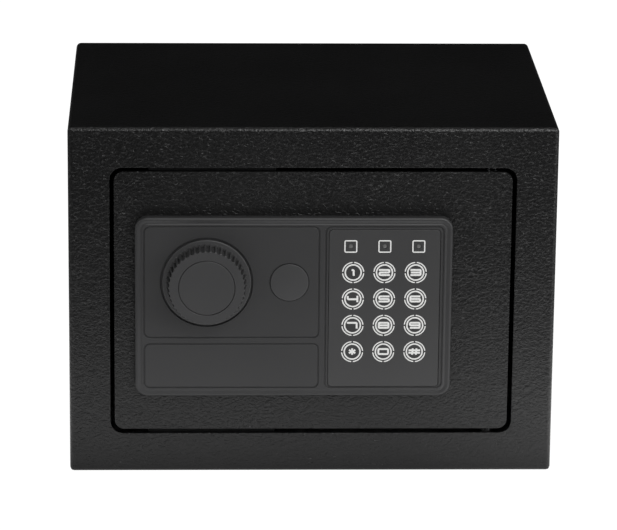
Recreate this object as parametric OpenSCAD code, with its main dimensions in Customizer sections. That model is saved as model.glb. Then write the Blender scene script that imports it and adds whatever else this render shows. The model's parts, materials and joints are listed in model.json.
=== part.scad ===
// Small electronic safe deposit box with a turning knob, a keypad and two live bolts.
// Millimetres. +Z is up, the door faces -Y, and the origin is the centre of the body's base.

/* [Body] */
// Overall width of the steel body
body_w = 230; // [226:1:300]
// Overall depth of the steel body, without the knob
body_d = 170; // [150:1:280]
// Overall height of the steel body
body_h = 170; // [168:1:260]
// Sheet thickness of the body
wall_t = 1.5; // [1:0.25:2]
// Outside radius of the folded edges
fold_r = 2.5; // [2.25:0.25:4]
// Width of the frame folded in round the door
border = 19.5; // [18:0.5:21]
// Corner radius of the door opening
opening_r = 6; // [4:0.5:9]
// Thickness of the felt mat on the floor
mat_t = 2; // [1:0.5:4]
// Radius of the fixing holes in the base and the back
fix_hole_r = 5; // [3:0.5:6.5]
// Distance between the two holes of each pair
fix_pitch = 100; // [60:5:140]

/* [Door] */
// Gap between the door plate and its opening
door_gap = 2; // [1.5:0.25:3]
// How far the door plate lies behind the frame's face
door_recess = 0.5; // [0:0.25:1]
// Thickness of the door plate
door_t = 3; // [2:0.5:4]
// Corner radius of the door plate
door_r = 4.5; // [3:0.5:7]
// Depth of the steel tray behind the door plate
pan_depth = 30; // [29:0.5:34]
// Sheet thickness of the tray and its cover
pan_t = 1.5; // [1:0.25:2]
// Distance from the door's side edges to the tray
pan_inset = 1.5; // [1:0.5:4]
// Distance from the door's top and bottom edges to the tray
pan_margin = 5.5; // [4.5:0.25:7]

/* [Hinge] */
// Distance from the door's right edge to the hinge axis
hinge_inset = 9; // [8:0.5:10]
// Depth of the hinge axis behind the door's face
hinge_back = 8; // [7:0.5:9]
// Radius of a hinge pin
pin_r = 3; // [2:0.25:3.5]
// Running clearance round a pin or a spindle
running_gap = 0.05; // [0.02:0.01:0.1]
// Thickness of the hinge brackets
bracket_t = 3; // [2:0.25:3.5]

/* [Bolts] */
// Radius of a bolt
bolt_r = 6; // [4:0.25:7]
// Distance from the upper bolt up to the tray's wall
bolt_margin = 9.85; // [8:0.05:12]
// Radius on which the crank pin turns
crank_r = 12; // [9:0.5:13]
// Angle that the knob turns through
knob_turn = 70; // [50:5:80]
// Thickness of the bolt carriage
carriage_t = 2; // [1.5:0.25:2.5]
// Radius of the crank pin
crank_pin_r = 2.5; // [1.5:0.25:3]
// Clearance between sliding pieces
slide_gap = 0.3; // [0.2:0.05:0.4]

/* [Control panel] */
// Width of the moulded panel
panel_w = 149.5; // [146:0.5:152]
// Height of the moulded panel
panel_h = 88; // [86:0.5:92]
// How far the panel stands out from the door plate
panel_t = 4; // [4:0.25:6]
// Corner radius of the panel
panel_r = 6; // [4:0.5:9]
// Wall thickness of the moulding
skin_t = 1.2; // [1:0.1:1.5]
// Panel centre, to the right of the door's centre
panel_dx = -9; // [-12:0.5:-6]
// Panel centre, above the door's centre
panel_dz = -1.8; // [-4:0.2:2]
// Distance from the panel's edge to its three fields
field_margin = 4; // [3.5:0.25:5]
// Width of the ribs between the fields
field_rib = 2.5; // [2:0.25:3]
// Height of the plain field below the knob
plain_h = 22.4; // [18:0.4:24]
// Corner radius of the fields
field_r = 3; // [2:0.25:4]

/* [Keypad] */
// Width of the keypad field
pad_w = 56; // [56:0.5:60]
// Distance from the field's edge to the overlay, at its sides and top
pad_edge = 1.85; // [1.5:0.05:2.2]
// The same distance below the overlay, where both gaps are one line
pad_foot = 0.75; // [0.7:0.05:0.9]
// Radius of a key
key_r = 4.4; // [3.5:0.1:4.6]
// Distance between key columns
key_pitch_x = 14.75; // [13:0.25:16]
// Distance between key rows
key_pitch_z = 13.05; // [12:0.05:14]
// Travel of a key
key_travel = 0.4; // [0.2:0.05:0.45]
// Distance from the top key row up to the lamp row
lamp_rise = 12.8; // [11:0.2:14]
// Distance between the lamps
lamp_pitch = 16; // [13:0.5:18]
// Radius of a lamp's lens
lamp_r = 1.05; // [0.8:0.05:1.5]

/* [Knob] */
// Radius of the knob's skirt
skirt_r = 20.9; // [20:0.1:22]
// Radius of the knob's grip where it meets the skirt
grip_r = 19; // [18:0.1:19.5]
// Radius of the knob's face
face_r = 18; // [16:0.1:18.5]
// Distance from the skirt's front to the knob's face
grip_h = 8.7; // [7:0.1:12]
// Thickness of the skirt
skirt_t = 1.7; // [1.5:0.1:2.5]
// Number of ribs round the grip
rib_count = 45; // [24:1:50]
// Depth of the slots between the ribs
rib_depth = 0.9; // [0.5:0.1:1.1]
// Radius of the disc in the knob's face
disc_r = 13.1; // [11:0.1:14]
// Radius of the spindle
spindle_r = 4; // [3:0.25:5]

/* [Emergency lock] */
// Distance from the knob's axis to the lock's axis
lock_pitch = 39; // [38:0.5:42]
// Radius of the cover cap
cap_r = 9; // [8.8:0.1:10]
// Radius of the lock's barrel
barrel_r = 8; // [7:0.25:8.25]
// Radius of the turning plug
plug_r = 5.5; // [4:0.25:6]
// How far the plunger travels
plunger_travel = 4; // [2:0.5:4]
// Radius of the plunger
plunger_r = 3; // [2:0.25:3.5]

/* [Power] */
// Radius of a battery cell
cell_r = 7.25; // [5.25:0.25:7.25]
// Length of a battery cell
cell_l = 50.5; // [44:0.5:51]
// Wall thickness of the battery holder
holder_t = 1.5; // [1:0.1:1.8]
// Travel of the reset button
reset_travel = 1.2; // [0.5:0.1:1.4]

/* [Hidden] */
$fn = 64;
// Cuts run past the face that they open by this much
over = 1;
// Clearance round a piece that sits in a hole and doesn't move there
fit_gap = 0.1;
// Width of the slots in the screw heads
screw_slot_w = 0.6;

// Body
front_y = -body_d / 2;
back_y = body_d / 2;
fold_in_r = max(0.2, fold_r - wall_t);
frame_y = front_y + wall_t;
mid_z = body_h / 2;

// Door plate
door_w = body_w - 2 * (border + door_gap);
door_h = body_h - 2 * (border + door_gap);
door_x0 = -door_w / 2;
door_x1 = door_w / 2;
door_z0 = border + door_gap;
door_z1 = door_z0 + door_h;
door_y0 = front_y + door_recess;
door_y1 = door_y0 + door_t;

// Hinge
hinge_x = door_x1 - hinge_inset;
hinge_y = door_y0 + hinge_back;
pin_wall = 2.5;
arm_w = 2 * (pin_r + pin_wall);
arm_t = bracket_t;
arm_foot_t = 2.5;
arm_foot_h = 15;
arm_edge = 1.5;
arm_z = door_z1 - pan_margin + arm_edge - arm_t;
bracket_gap = 1.5;
bracket_side = 5.5;
bracket_wall = 3.5;
mat_gap = 0.5;
bracket_z = body_h - border + bracket_gap;
bracket_w = 2 * (pin_r + bracket_side);
bracket_h = border - wall_t - bracket_gap - mat_t - mat_gap;
bracket_depth = hinge_y + pin_r + bracket_wall - frame_y;
pin_proud = 2;
pin_head_r = pin_r + 1;
pin_head_t = 1.5;
pin_tip_t = 0.6;
pin_z1 = bracket_z + bracket_t + pin_proud;

// Strips that stop the door
stop_inset = 16;
stop_w = 60;
stop_t = 1.6;
stop_edge = 0.5;
stop_h = 7.5;
stop_lap = 2;

// Tray behind the door plate
pan_x0 = door_x0 + pan_inset;
hinge_room = 3;
pan_x1 = hinge_x - arm_w / 2 - hinge_room;
pan_z0 = door_z0 + pan_margin;
pan_z1 = door_z1 - pan_margin;
pan_y1 = door_y1 + pan_depth;
pan_r = 5;
post_r = 4;
post_hole_r = 1.25;
post_hole_l = 12;
cover_y1 = pan_y1 + pan_t;
post_lap = 1;
post_inset = pan_t + post_r - post_lap;
cover_screw_l = 8;
cover_head_r = 2.8;
cover_head_t = 1.6;
posts = [
    [pan_x0 + post_inset, pan_z0 + post_inset], [pan_x1 - post_inset, pan_z0 + post_inset],
    [pan_x0 + post_inset, pan_z1 - post_inset], [pan_x1 - post_inset, pan_z1 - post_inset]
];

// Fields of the control panel
panel_cx = panel_dx;
panel_cz = mid_z + panel_dz;
panel_y0 = door_y0 - panel_t;
panel_x0 = panel_cx - panel_w / 2;
panel_x1 = panel_cx + panel_w / 2;
panel_z0 = panel_cz - panel_h / 2;
panel_z1 = panel_cz + panel_h / 2;
skin_y = panel_y0 + skin_t;
groove_w = 0.7;
groove_t = 0.5;
bead_w = 2;
bead_groove = 0.5;
field_x0 = panel_x0 + field_margin;
field_z0 = panel_z0 + field_margin;
field_z1 = panel_z1 - field_margin;
pad_x1 = panel_x1 - field_margin;
pad_x0 = pad_x1 - pad_w;
field_x1 = pad_x0 - field_rib;
knob_field_z0 = field_z0 + plain_h + field_rib;
panel_rim = 2;
panel_edge_r = 1.2;
seat_wall = 1.8;
boss_r = 3.2;
boss_left = 4.5;
boss_right = 3.7;
boss_low = 7.5;
boss_hole_l = 2.2;
boss_x = [field_x0 + boss_left, pad_x0 - boss_right];
screw_r = 1.5;
screw_head_r = 2.75;
screw_head_t = 1.8;
panel_screw_l = 2;

// Keypad, from its face back to its circuit board
pad_cx = (pad_x0 + pad_x1) / 2;
overlay_z0 = field_z0 + pad_foot;
overlay_z1 = field_z1 - pad_edge;
pad_cz = (overlay_z0 + overlay_z1) / 2;
overlay_w = pad_w - 2 * pad_edge;
overlay_h = overlay_z1 - overlay_z0;
overlay_sink = 0.3;
overlay_y = panel_y0 + overlay_sink;
overlay_r = field_r - 1.2;
overlay_lip = 1;
overlay_lip_t = 0.4;
overlay_gap = 0.25;
key_gap = 0.25;
key_lip = 0.6;
key_lip_y = skin_y + overlay_lip_t + slide_gap;
board_t = 1;
board_gap = 0.25;
board_y = door_y0 - board_gap - board_t;
key_stop_gap = 0.1;
key_lip_t = board_y - key_travel - key_stop_gap - key_lip_y;
keys_drop = 1.8;
keys_cz = pad_cz - keys_drop;
lamp_z = keys_cz + 1.5 * key_pitch_z + lamp_rise;
housing_wall = 2;
housing_w = overlay_w + 2 * (overlay_lip + fit_gap + housing_wall);
housing_h = overlay_h + 2 * (overlay_lip + fit_gap + housing_wall);
board_pin_r = 0.7;
board_pin_inset = 1.3;
wire_r = 1.5;
wire_hole_r = 5;

// Knob and its spindle
knob_inset = 29.75;
knob_x = field_x0 + knob_inset;
knob_z = (knob_field_z0 + field_z1) / 2;
recess_t = 1.2;
recess_gap = 0.9;
recess_y = panel_y0 + recess_t;
skirt_y1 = recess_y - slide_gap;
skirt_y0 = skirt_y1 - skirt_t;
knob_y0 = skirt_y0 - grip_h;
disc_t = 1.2;
disc_gap = 0.15;
disc_sink = 0.1;
knob_wall = 2.4;
hub_wall = 3;
hub_r = spindle_r + hub_wall;
hub_gap = 0.6;
bush_wall = 2;
bush_lip = 2;
bush_lip_t = 1;
bush_lip_r = spindle_r + bush_wall + bush_lip;
bush_tail = 3;
bush_room = 0.2;
slot_w = 1.4;

// Boltwork
bolt_stand = 0.5;
bolt_y = door_y1 + bolt_r + bolt_stand;
bolt_rise = pan_z1 - pan_t - bolt_r - bolt_margin - knob_z;
bolt_z = [knob_z - bolt_rise, knob_z + bolt_rise];
boss_bolt_gap = 2.7;
boss_z = [panel_z0 + boss_low, bolt_z[1] - bolt_r - boss_bolt_gap - screw_head_r];
half_turn = knob_turn / 2;
throw = 2 * crank_r * sin(half_turn);
pin_x = knob_x + crank_r * sin(half_turn);
pin_z = knob_z + crank_r * cos(half_turn);
crank_t = 3;
crank_gap = 1;
crank_room = 2.3;
crank_y = door_y1 + bush_tail + crank_room;
carriage_y = crank_y + crank_t + crank_gap;
carriage_y1 = carriage_y + carriage_t;
crank_pin_y1 = carriage_y1 + crank_gap;
crank_wall = 4;
flange_gap = 0.5;
flange_room = 2.7;
flange_wall = 1.5;
flange_y0 = door_y1 + screw_head_t + flange_gap;
flange_x0 = pan_x0 + pan_t + throw + flange_room;
flange_x1 = flange_x0 + carriage_t;
flange_z0 = bolt_z[0] - bolt_r - flange_wall;
flange_z1 = bolt_z[1] + bolt_r + flange_wall;
bolt_tail_r = carriage_y - bolt_y - fit_gap;
bolt_rivet_t = 0.5;
bolt_proud = 0.5;
bolt_tip_x = pan_x0 - bolt_proud;
bolt_tip_t = 1.5;
arm_h = 14;
arm_lift = 30;
pin_slot_wall = 5;
carriage_r = 2;
carriage_z0 = knob_z - arm_lift;
stud_r = 2.5;
stud_head_r = 4.5;
stud_head_t = 1.5;
stud_room = 2.5;
stud_low = 6;
stud_rise = 26;
stud_x = flange_x1 + stud_head_r + stud_room;
stud_z = [carriage_z0 + stud_low, knob_z + stud_rise];
lobe_wall = 2.5;
lobe_r = crank_pin_r + lobe_wall;

// Emergency lock and solenoid
lock_x = knob_x + lock_pitch;
lock_rim = 1.8;
lock_head_r = barrel_r + lock_rim;
lock_head_t = 1.2;
lock_room = 0.2;
plug_sink = 0.2;
barrel_proud = 3.2;
barrel_y1 = crank_pin_y1 + barrel_proud;
nut_wall = 4;
nut_r = barrel_r + nut_wall;
nut_t = 4;
cap_recess_t = 0.7;
cap_head_t = 0.8;
cap_dome_t = 0.4;
cap_gap = 0.2;
cap_wall = 1.5;
cap_seat_y = panel_y0 + cap_recess_t;
cap_plug_r = barrel_r;
cam_t = 2;
cam_hub_r = 7;
cam_w = 8;
cam_y0 = barrel_y1 + slide_gap;
cam_y1 = cam_y0 + cam_t;
tail_r = 3.5;
cam_screw_l = cam_t + slide_gap;
cam_screw_head_t = 2;
plunger_y = carriage_y + carriage_t / 2;
plunger_gap = 0.7;
plunger_top = carriage_z0 - plunger_gap;
notch_h = plunger_travel + plunger_gap;
notch_w = 2 * plunger_r + 1;
notch_wall = 4;
carriage_x1 = lock_x + throw + notch_w / 2 + notch_wall;
cross_pin_r = 1.25;
cross_pin_drop = 2.3;
cross_pin_proud = 1.2;
cross_pin_z = plunger_top - cross_pin_drop;
cam_reach = knob_z - cross_pin_z - cross_pin_r - slide_gap;
coil_r = 7.5;
coil_gap = 0.2;
coil_w = 18;
coil_plate_t = 1.5;
coil_drop = 4.5;
coil_l = 22;
coil_end_t = 1;
coil_sink = 0.6;
coil_floor = 3;
plunger_room = 0.5;
coil_z1 = plunger_top - coil_drop;
coil_z0 = coil_z1 - coil_l;
coil_y1 = plunger_y + coil_r + coil_gap;

// Power and electronics
cell_gap = 0.7;
cell_pitch = 2 * cell_r + cell_gap;
cell_count = 4;
cell_depth = 1.2;
cell_y = pan_y1 - cell_r - cell_depth;
cell_room = 0.4;
cell_bed_gap = 0.3;
spring_l = 4.5;
holder_gap = 0.8;
holder_x1 = pan_x1 - pan_t - holder_gap;
holder_x0 = holder_x1 - cell_l - spring_l - 2 * holder_t;
holder_z0 = pan_z0 + post_inset + post_r + holder_gap;
holder_z1 = holder_z0 + cell_count * cell_pitch + 2 * holder_t;
holder_bed_t = 0.5;
holder_y0 = cell_y - cell_r - holder_t - holder_bed_t;
holder_y1 = pan_y1 - slide_gap;
holder_leg_r = 3;
leg_inset = 6;
bay_r = 2;
lid_gap = 0.3;
lid_t = 1.5;
lid_lip = 2;
bay_x0 = holder_x0 + holder_t;
bay_x1 = holder_x1 - holder_t;
bay_z0 = holder_z0 + holder_t;
bay_z1 = holder_z1 - holder_t;
main_t = 1.6;
main_w = 56;
main_gap = 4;
main_depth = 10.5;
main_x1 = pan_x1 - post_inset - post_r - holder_gap;
main_x0 = main_x1 - main_w;
main_z0 = holder_z1 + main_gap;
main_z1 = pan_z1 - pan_t - main_gap / 2;
main_y = pan_y1 - main_depth;
main_y1 = main_y + main_t;
wire_edge = 3.55;
wire_z = main_z0 + wire_edge;
board_post_r = 2.5;
board_post_inset = 4;
board_posts = [
    for (x = [main_x0 + board_post_inset, main_x1 - board_post_inset])
        for (z = [main_z0 + board_post_inset, main_z1 - board_post_inset]) [x, z]
];
switch_w = 6;
switch_t = 4;
reset_inset = 14;
reset_x = main_x1 - reset_inset;
reset_z = (main_z0 + main_z1) / 2;
reset_r = 3.5;
reset_gap = 0.2;
reset_proud = 1.8;
reset_edge = 0.4;
reset_y0 = main_y1 + switch_t + reset_travel + reset_gap;
reset_y1 = cover_y1 + reset_proud;
buzzer_r = 6;
buzzer_t = 5;
buzzer_gap = 1.5;
buzzer_hole_r = 1;
buzzer_x = pad_cx + wire_r + buzzer_gap + buzzer_r;
buzzer_z = (main_z0 + main_z1) / 2;

// ---- Shapes that repeat ----

// A flat shape drawn in X and Z, thickened from y0 towards +Y
module slab(y0, t) {
    translate([0, y0 + t, 0]) rotate([90, 0, 0]) linear_extrude(t) children();
}

// A rod along Y
module rod(x, z, y0, y1, r) {
    translate([x, y1, z]) rotate([90, 0, 0]) cylinder(r = r, h = y1 - y0);
}

// A rectangle with round corners
module rrect(w, h, r) {
    square([w - 2 * r, h], center = true);
    square([w, h - 2 * r], center = true);
    for (sx = [-1, 1], sz = [-1, 1]) {
        translate([sx * (w / 2 - r), sz * (h / 2 - r)]) circle(r);
    }
}

// The same between two corners
module rfield(x0, z0, x1, z1, r) {
    translate([(x0 + x1) / 2, (z0 + z1) / 2]) rrect(x1 - x0, z1 - z0, r);
}

// A plain box between two corners
module block(a, b) {
    translate(a) cube(b - a);
}

// A rectangle whose two corners at y0 are round
module folded_front(w, y0, y1, r) {
    translate([-w / 2, y0 + r]) square([w, y1 - y0 - r]);
    translate([-w / 2 + r, y0]) square([w - 2 * r, 2 * r]);
    for (s = [-1, 1]) {
        translate([s * (w / 2 - r), y0 + r]) circle(r);
    }
}

// A box folded round all its front edges: the overlap of its three outlines
module folded_box(w, y0, y1, z0, z1, r) {
    intersection() {
        slab(y0, y1 - y0) rfield(-w / 2, z0, w / 2, z1, r);
        translate([0, 0, z0]) linear_extrude(z1 - z0) folded_front(w, y0, y1, r);
        translate([0, 0, (z0 + z1) / 2]) rotate([90, 0, 90]) {
            linear_extrude(w, center = true) {
                rotate(-90) mirror([1, 0]) folded_front(z1 - z0, y0, y1, r);
            }
        }
    }
}

// A sunk line round a field
module groove(x0, z0, x1, z1, r, w, t) {
    slab(panel_y0 - over, over + t) difference() {
        rfield(x0, z0, x1, z1, r);
        rfield(x0 + w, z0 + w, x1 - w, z1 - w, r - w);
    }
}

// A round lead through a list of points, a little thicker at its bends
module lead(route, r) {
    lead_bend = 0.05;
    for (i = [0 : len(route) - 2]) {
        run = route[i + 1] - route[i];
        translate(route[i]) {
            rotate([0, acos(run[2] / norm(run)), atan2(run[1], run[0])]) cylinder(r = r, h = norm(run));
        }
    }
    for (i = [1 : len(route) - 2]) {
        translate(route[i]) sphere(r + lead_bend);
    }
}

// Upper pieces of the hinge, and their mirror images below
module lower_hand() {
    translate([0, 0, 2 * mid_z]) mirror([0, 0, 1]) children();
}

// ---- Body ----

module body_shell() {
    color("#1b1b1d") difference() {
        folded_box(body_w, front_y, back_y, 0, body_h, fold_r);
        folded_box(
            body_w - 2 * wall_t, frame_y, back_y + fold_r + over, wall_t, body_h - wall_t, fold_in_r
        );
        slab(front_y - over, wall_t + 2 * over) {
            rfield(-body_w / 2 + border, border, body_w / 2 - border, body_h - border, opening_r);
        }
        for (s = [-1, 1]) {
            translate([s * fix_pitch / 2, 0, -over]) cylinder(r = fix_hole_r, h = wall_t + 2 * over);
        }
    }
}

module back_panel() {
    color("#1b1b1d") difference() {
        slab(back_y - wall_t, wall_t) {
            rfield(-body_w / 2 + wall_t, wall_t, body_w / 2 - wall_t, body_h - wall_t, fold_in_r);
        }
        for (s = [-1, 1]) {
            rod(s * fix_pitch / 2, mid_z, back_y - wall_t - over, back_y + over, fix_hole_r);
        }
    }
}

// An angle welded behind the frame, with the bore that carries a hinge pin
module hinge_bracket() {
    color("#242426") difference() {
        union() {
            block(
                [hinge_x - bracket_w / 2, frame_y, bracket_z],
                [hinge_x + bracket_w / 2, frame_y + arm_foot_t, bracket_z + bracket_h]
            );
            block(
                [hinge_x - bracket_w / 2, frame_y, bracket_z],
                [hinge_x + bracket_w / 2, frame_y + bracket_depth, bracket_z + bracket_t]
            );
        }
        translate([hinge_x, hinge_y, bracket_z - over]) {
            cylinder(r = pin_r + running_gap, h = bracket_t + 2 * over);
        }
    }
}

module hinge_bracket_upper() {
    hinge_bracket();
}

module hinge_bracket_lower() {
    lower_hand() hinge_bracket();
}

// Two strips welded behind the frame, whose lips the closed door plate rests against
module door_stops() {
    stop_x0 = door_x0 + stop_inset;
    stop_x1 = stop_x0 + stop_w;
    lip_y = door_y1 + slide_gap;
    strip_z = body_h - border + stop_edge;
    module stop() {
        block([stop_x0, frame_y, strip_z], [stop_x1, lip_y + stop_t, strip_z + stop_h]);
        block([stop_x0, lip_y, door_z1 - stop_lap], [stop_x1, lip_y + stop_t, strip_z]);
    }
    color("#242426") {
        stop();
        lower_hand() stop();
    }
}

module floor_mat() {
    edge = 1;
    color("#3a3a3c") difference() {
        block(
            [-body_w / 2 + wall_t + edge, frame_y + edge, wall_t],
            [body_w / 2 - wall_t - edge, back_y - wall_t - edge, wall_t + mat_t]
        );
        for (s = [-1, 1]) {
            translate([s * fix_pitch / 2, 0, wall_t - over]) {
                cylinder(r = fix_hole_r + edge, h = mat_t + 2 * over);
            }
        }
    }
}

// ---- Door ----

module door_plate() {
    color("#1f1f21") {
        difference() {
            slab(door_y0, door_t) rfield(door_x0, door_z0, door_x1, door_z1, door_r);
            rod(knob_x, knob_z, door_y0 - over, door_y1 + over, spindle_r + running_gap + bush_wall);
            rod(lock_x, knob_z, door_y0 - over, door_y1 + over, barrel_r + fit_gap);
            rod(pad_cx, wire_z, door_y0 - over, door_y1 + over, wire_hole_r);
            for (x = boss_x, z = boss_z) {
                rod(x, z, door_y0 - over, door_y1 + over, screw_r + fit_gap);
            }
        }
        for (p = board_posts) {
            rod(p[0], p[1], door_y1, main_y, board_post_r);
        }
    }
}

// A tray with the holes that guide the bolts, and a threaded post in each corner
module door_pan() {
    color("#202022") difference() {
        union() {
            slab(door_y1, pan_depth) difference() {
                rfield(pan_x0, pan_z0, pan_x1, pan_z1, pan_r);
                rfield(pan_x0 + pan_t, pan_z0 + pan_t, pan_x1 - pan_t, pan_z1 - pan_t, pan_r - pan_t);
            }
            for (p = posts) {
                rod(p[0], p[1], door_y1, pan_y1, post_r);
            }
        }
        for (z = bolt_z) {
            translate([pan_x0 - over, bolt_y, z]) rotate([0, 90, 0]) {
                cylinder(r = bolt_r + slide_gap, h = pan_t + 2 * over);
            }
        }
        for (p = posts) {
            rod(p[0], p[1], pan_y1 - post_hole_l, pan_y1 + over, post_hole_r);
        }
    }
}

module inner_cover() {
    color("#222224") difference() {
        slab(pan_y1, pan_t) rfield(pan_x0, pan_z0, pan_x1, pan_z1, pan_r);
        slab(pan_y1 - over, pan_t + 2 * over) rfield(bay_x0, bay_z0, bay_x1, bay_z1, bay_r);
        rod(reset_x, reset_z, pan_y1 - over, cover_y1 + over, reset_r + slide_gap);
        for (p = posts) {
            rod(p[0], p[1], pan_y1 - over, cover_y1 + over, post_hole_r + 2 * fit_gap);
        }
    }
}

// A round-headed screw along Y, its head towards +Y
module back_screw(x, z, seat_y, shank_y, shank_r, head_r, head_t) {
    rod(x, z, shank_y, seat_y, shank_r);
    difference() {
        rod(x, z, seat_y, seat_y + head_t, head_r);
        for (a = [0, 90]) {
            translate([x, seat_y + head_t, z]) rotate([0, a, 0]) {
                cube([head_r, head_t, screw_slot_w], center = true);
            }
        }
    }
}

module cover_screws() {
    color("silver") for (p = posts) {
        back_screw(p[0], p[1], cover_y1, pan_y1 - cover_screw_l, post_hole_r, cover_head_r, cover_head_t);
    }
}

// A welded angle on the door plate that holds a hinge pin, its foot relieved round the pin's head
module hinge_arm() {
    color("#242426") difference() {
        union() {
            block(
                [hinge_x - arm_w / 2, door_y1, arm_z + arm_t - arm_foot_h],
                [hinge_x + arm_w / 2, door_y1 + arm_foot_t, arm_z + arm_t]
            );
            block([hinge_x - arm_w / 2, door_y1, arm_z], [hinge_x + arm_w / 2, hinge_y, arm_z + arm_t]);
            translate([hinge_x, hinge_y, arm_z]) cylinder(r = arm_w / 2, h = arm_t);
        }
        translate([hinge_x, hinge_y, arm_z - over]) cylinder(r = pin_r, h = arm_t + 2 * over);
        translate([hinge_x, hinge_y, arm_z - pin_head_t - slide_gap]) {
            cylinder(r = pin_head_r + slide_gap, h = pin_head_t + slide_gap);
        }
        block(
            [hinge_x - arm_w, door_y0, arm_z + arm_t - arm_foot_h - over],
            [hinge_x + arm_w, door_y1, arm_z + arm_t + over]
        );
    }
}

module hinge_arm_upper() {
    hinge_arm();
}

module hinge_arm_lower() {
    lower_hand() hinge_arm();
}

// A headed pin, from below the arm to past the bracket
module hinge_pin() {
    color("silver") translate([hinge_x, hinge_y, 0]) {
        translate([0, 0, arm_z - pin_head_t]) cylinder(r = pin_head_r, h = pin_head_t);
        translate([0, 0, arm_z]) cylinder(r = pin_r, h = pin_z1 - arm_z - pin_tip_t);
        translate([0, 0, pin_z1 - pin_tip_t]) cylinder(r1 = pin_r, r2 = pin_r - pin_tip_t, h = pin_tip_t);
    }
}

module hinge_pin_upper() {
    hinge_pin();
}

module hinge_pin_lower() {
    lower_hand() hinge_pin();
}

// ---- Control panel ----

// The moulding: a domed-edge plate with sunk lines, a seat for the knob and the cap, and a keypad window
module control_panel() {
    color("#3d3d3f") difference() {
        translate([panel_cx, 0, 0]) intersection() {
            slab(panel_y0, panel_t) rfield(-panel_w / 2, panel_z0, panel_w / 2, panel_z1, panel_r);
            folded_box(panel_w, panel_y0, door_y0, panel_z0, panel_z1, panel_edge_r);
        }
        // Hollow behind the skin, round the housings and the screw bosses
        slab(skin_y, panel_t) difference() {
            rfield(
                panel_x0 + panel_rim, panel_z0 + panel_rim,
                panel_x1 - panel_rim, panel_z1 - panel_rim, panel_r - panel_rim
            );
            translate([pad_cx, pad_cz]) rrect(housing_w, housing_h, field_r);
            translate([knob_x, knob_z]) circle(skirt_r + recess_gap + seat_wall);
            translate([lock_x, knob_z]) circle(lock_head_r + seat_wall);
            for (x = boss_x, z = boss_z) {
                translate([x, z]) circle(boss_r);
            }
        }
        // Room for the keypad's lip and board inside its housing
        slab(skin_y, board_y - skin_y) translate([pad_cx, pad_cz]) {
            rrect(
                overlay_w + 2 * (overlay_lip + fit_gap), overlay_h + 2 * (overlay_lip + fit_gap), field_r
            );
        }
        slab(board_y, panel_t) translate([pad_cx, pad_cz]) {
            rrect(housing_w + 2 * fit_gap, housing_h + 2 * fit_gap, field_r);
        }
        // Keypad window
        slab(panel_y0 - over, panel_t) translate([pad_cx, pad_cz]) {
            rrect(overlay_w + 2 * overlay_gap, overlay_h + 2 * overlay_gap, overlay_r + overlay_gap);
        }
        // Sunk lines round the edge and the three fields
        groove(
            panel_x0 + bead_w, panel_z0 + bead_w, panel_x1 - bead_w, panel_z1 - bead_w,
            panel_r - bead_w, bead_groove, groove_t
        );
        groove(field_x0, knob_field_z0, field_x1, field_z1, field_r, groove_w, groove_t);
        groove(field_x0, field_z0, field_x1, field_z0 + plain_h, field_r, groove_w, groove_t);
        groove(pad_x0, field_z0, pad_x1, field_z1, field_r, groove_w, groove_t);
        // Seats of the knob and the cap
        rod(knob_x, knob_z, panel_y0 - over, recess_y, skirt_r + recess_gap);
        rod(knob_x, knob_z, panel_y0, door_y0 + over, spindle_r + hub_gap);
        rod(knob_x, knob_z, door_y0 - bush_lip_t - bush_room, door_y0 + over, bush_lip_r + bush_room);
        rod(lock_x, knob_z, panel_y0 - over, cap_seat_y, cap_r + cap_gap);
        rod(lock_x, knob_z, panel_y0, door_y0 + over, cap_plug_r + fit_gap);
        rod(lock_x, knob_z, door_y0 - lock_head_t - lock_room, door_y0 + over, lock_head_r + fit_gap);
        for (x = boss_x, z = boss_z) {
            rod(x, z, door_y0 - boss_hole_l, door_y0 + over, screw_r);
        }
    }
}

module keypad_overlay() {
    color("#3f3f41") difference() {
        union() {
            slab(overlay_y, skin_y - overlay_y) translate([pad_cx, pad_cz]) {
                rrect(overlay_w, overlay_h, overlay_r);
            }
            slab(skin_y, overlay_lip_t) translate([pad_cx, pad_cz]) {
                rrect(overlay_w + 2 * overlay_lip, overlay_h + 2 * overlay_lip, field_r);
            }
        }
        for (col = [0 : 2], row = [0 : 3]) {
            rod(key_x(col), key_z(row), overlay_y - over, skin_y + over, key_r + key_gap);
        }
        for (i = [-1 : 1]) {
            rod(pad_cx + i * lamp_pitch, lamp_z, overlay_y - over, skin_y + over, lamp_r + fit_gap);
        }
    }
}

module keypad_board() {
    color("#1f5a36") slab(board_y, board_t) difference() {
        translate([pad_cx, pad_cz]) rrect(housing_w, housing_h, field_r);
        for (sx = [-1, 1]) {
            translate([pad_cx + sx * (housing_w / 2 - board_pin_inset), pad_cz]) circle(board_pin_r);
        }
    }
}

module led_lenses() {
    lens_sink = 0.05;
    color("#8a8a8c") for (i = [-1 : 1]) {
        rod(pad_cx + i * lamp_pitch, lamp_z, overlay_y + lens_sink, board_y, lamp_r);
    }
}

function key_x(col) = pad_cx + (col - 1) * key_pitch_x;
function key_z(row) = keys_cz + (1.5 - row) * key_pitch_z;

// A round key with a lip that keeps it behind the overlay
module key(col, row) {
    color("#414143") {
        rod(key_x(col), key_z(row), overlay_y, key_lip_y, key_r);
        rod(key_x(col), key_z(row), key_lip_y, key_lip_y + key_lip_t, key_r + key_lip);
    }
}

module key_1() { key(0, 0); }
module key_2() { key(1, 0); }
module key_3() { key(2, 0); }
module key_4() { key(0, 1); }
module key_5() { key(1, 1); }
module key_6() { key(2, 1); }
module key_7() { key(0, 2); }
module key_8() { key(1, 2); }
module key_9() { key(2, 2); }
module key_star() { key(0, 3); }
module key_0() { key(1, 3); }
module key_hash() { key(2, 3); }

module panel_screws() {
    color("silver") for (x = boss_x, z = boss_z) {
        back_screw(x, z, door_y1, door_y0 - panel_screw_l, screw_r, screw_head_r, screw_head_t);
    }
}

// ---- Knob ----

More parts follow.
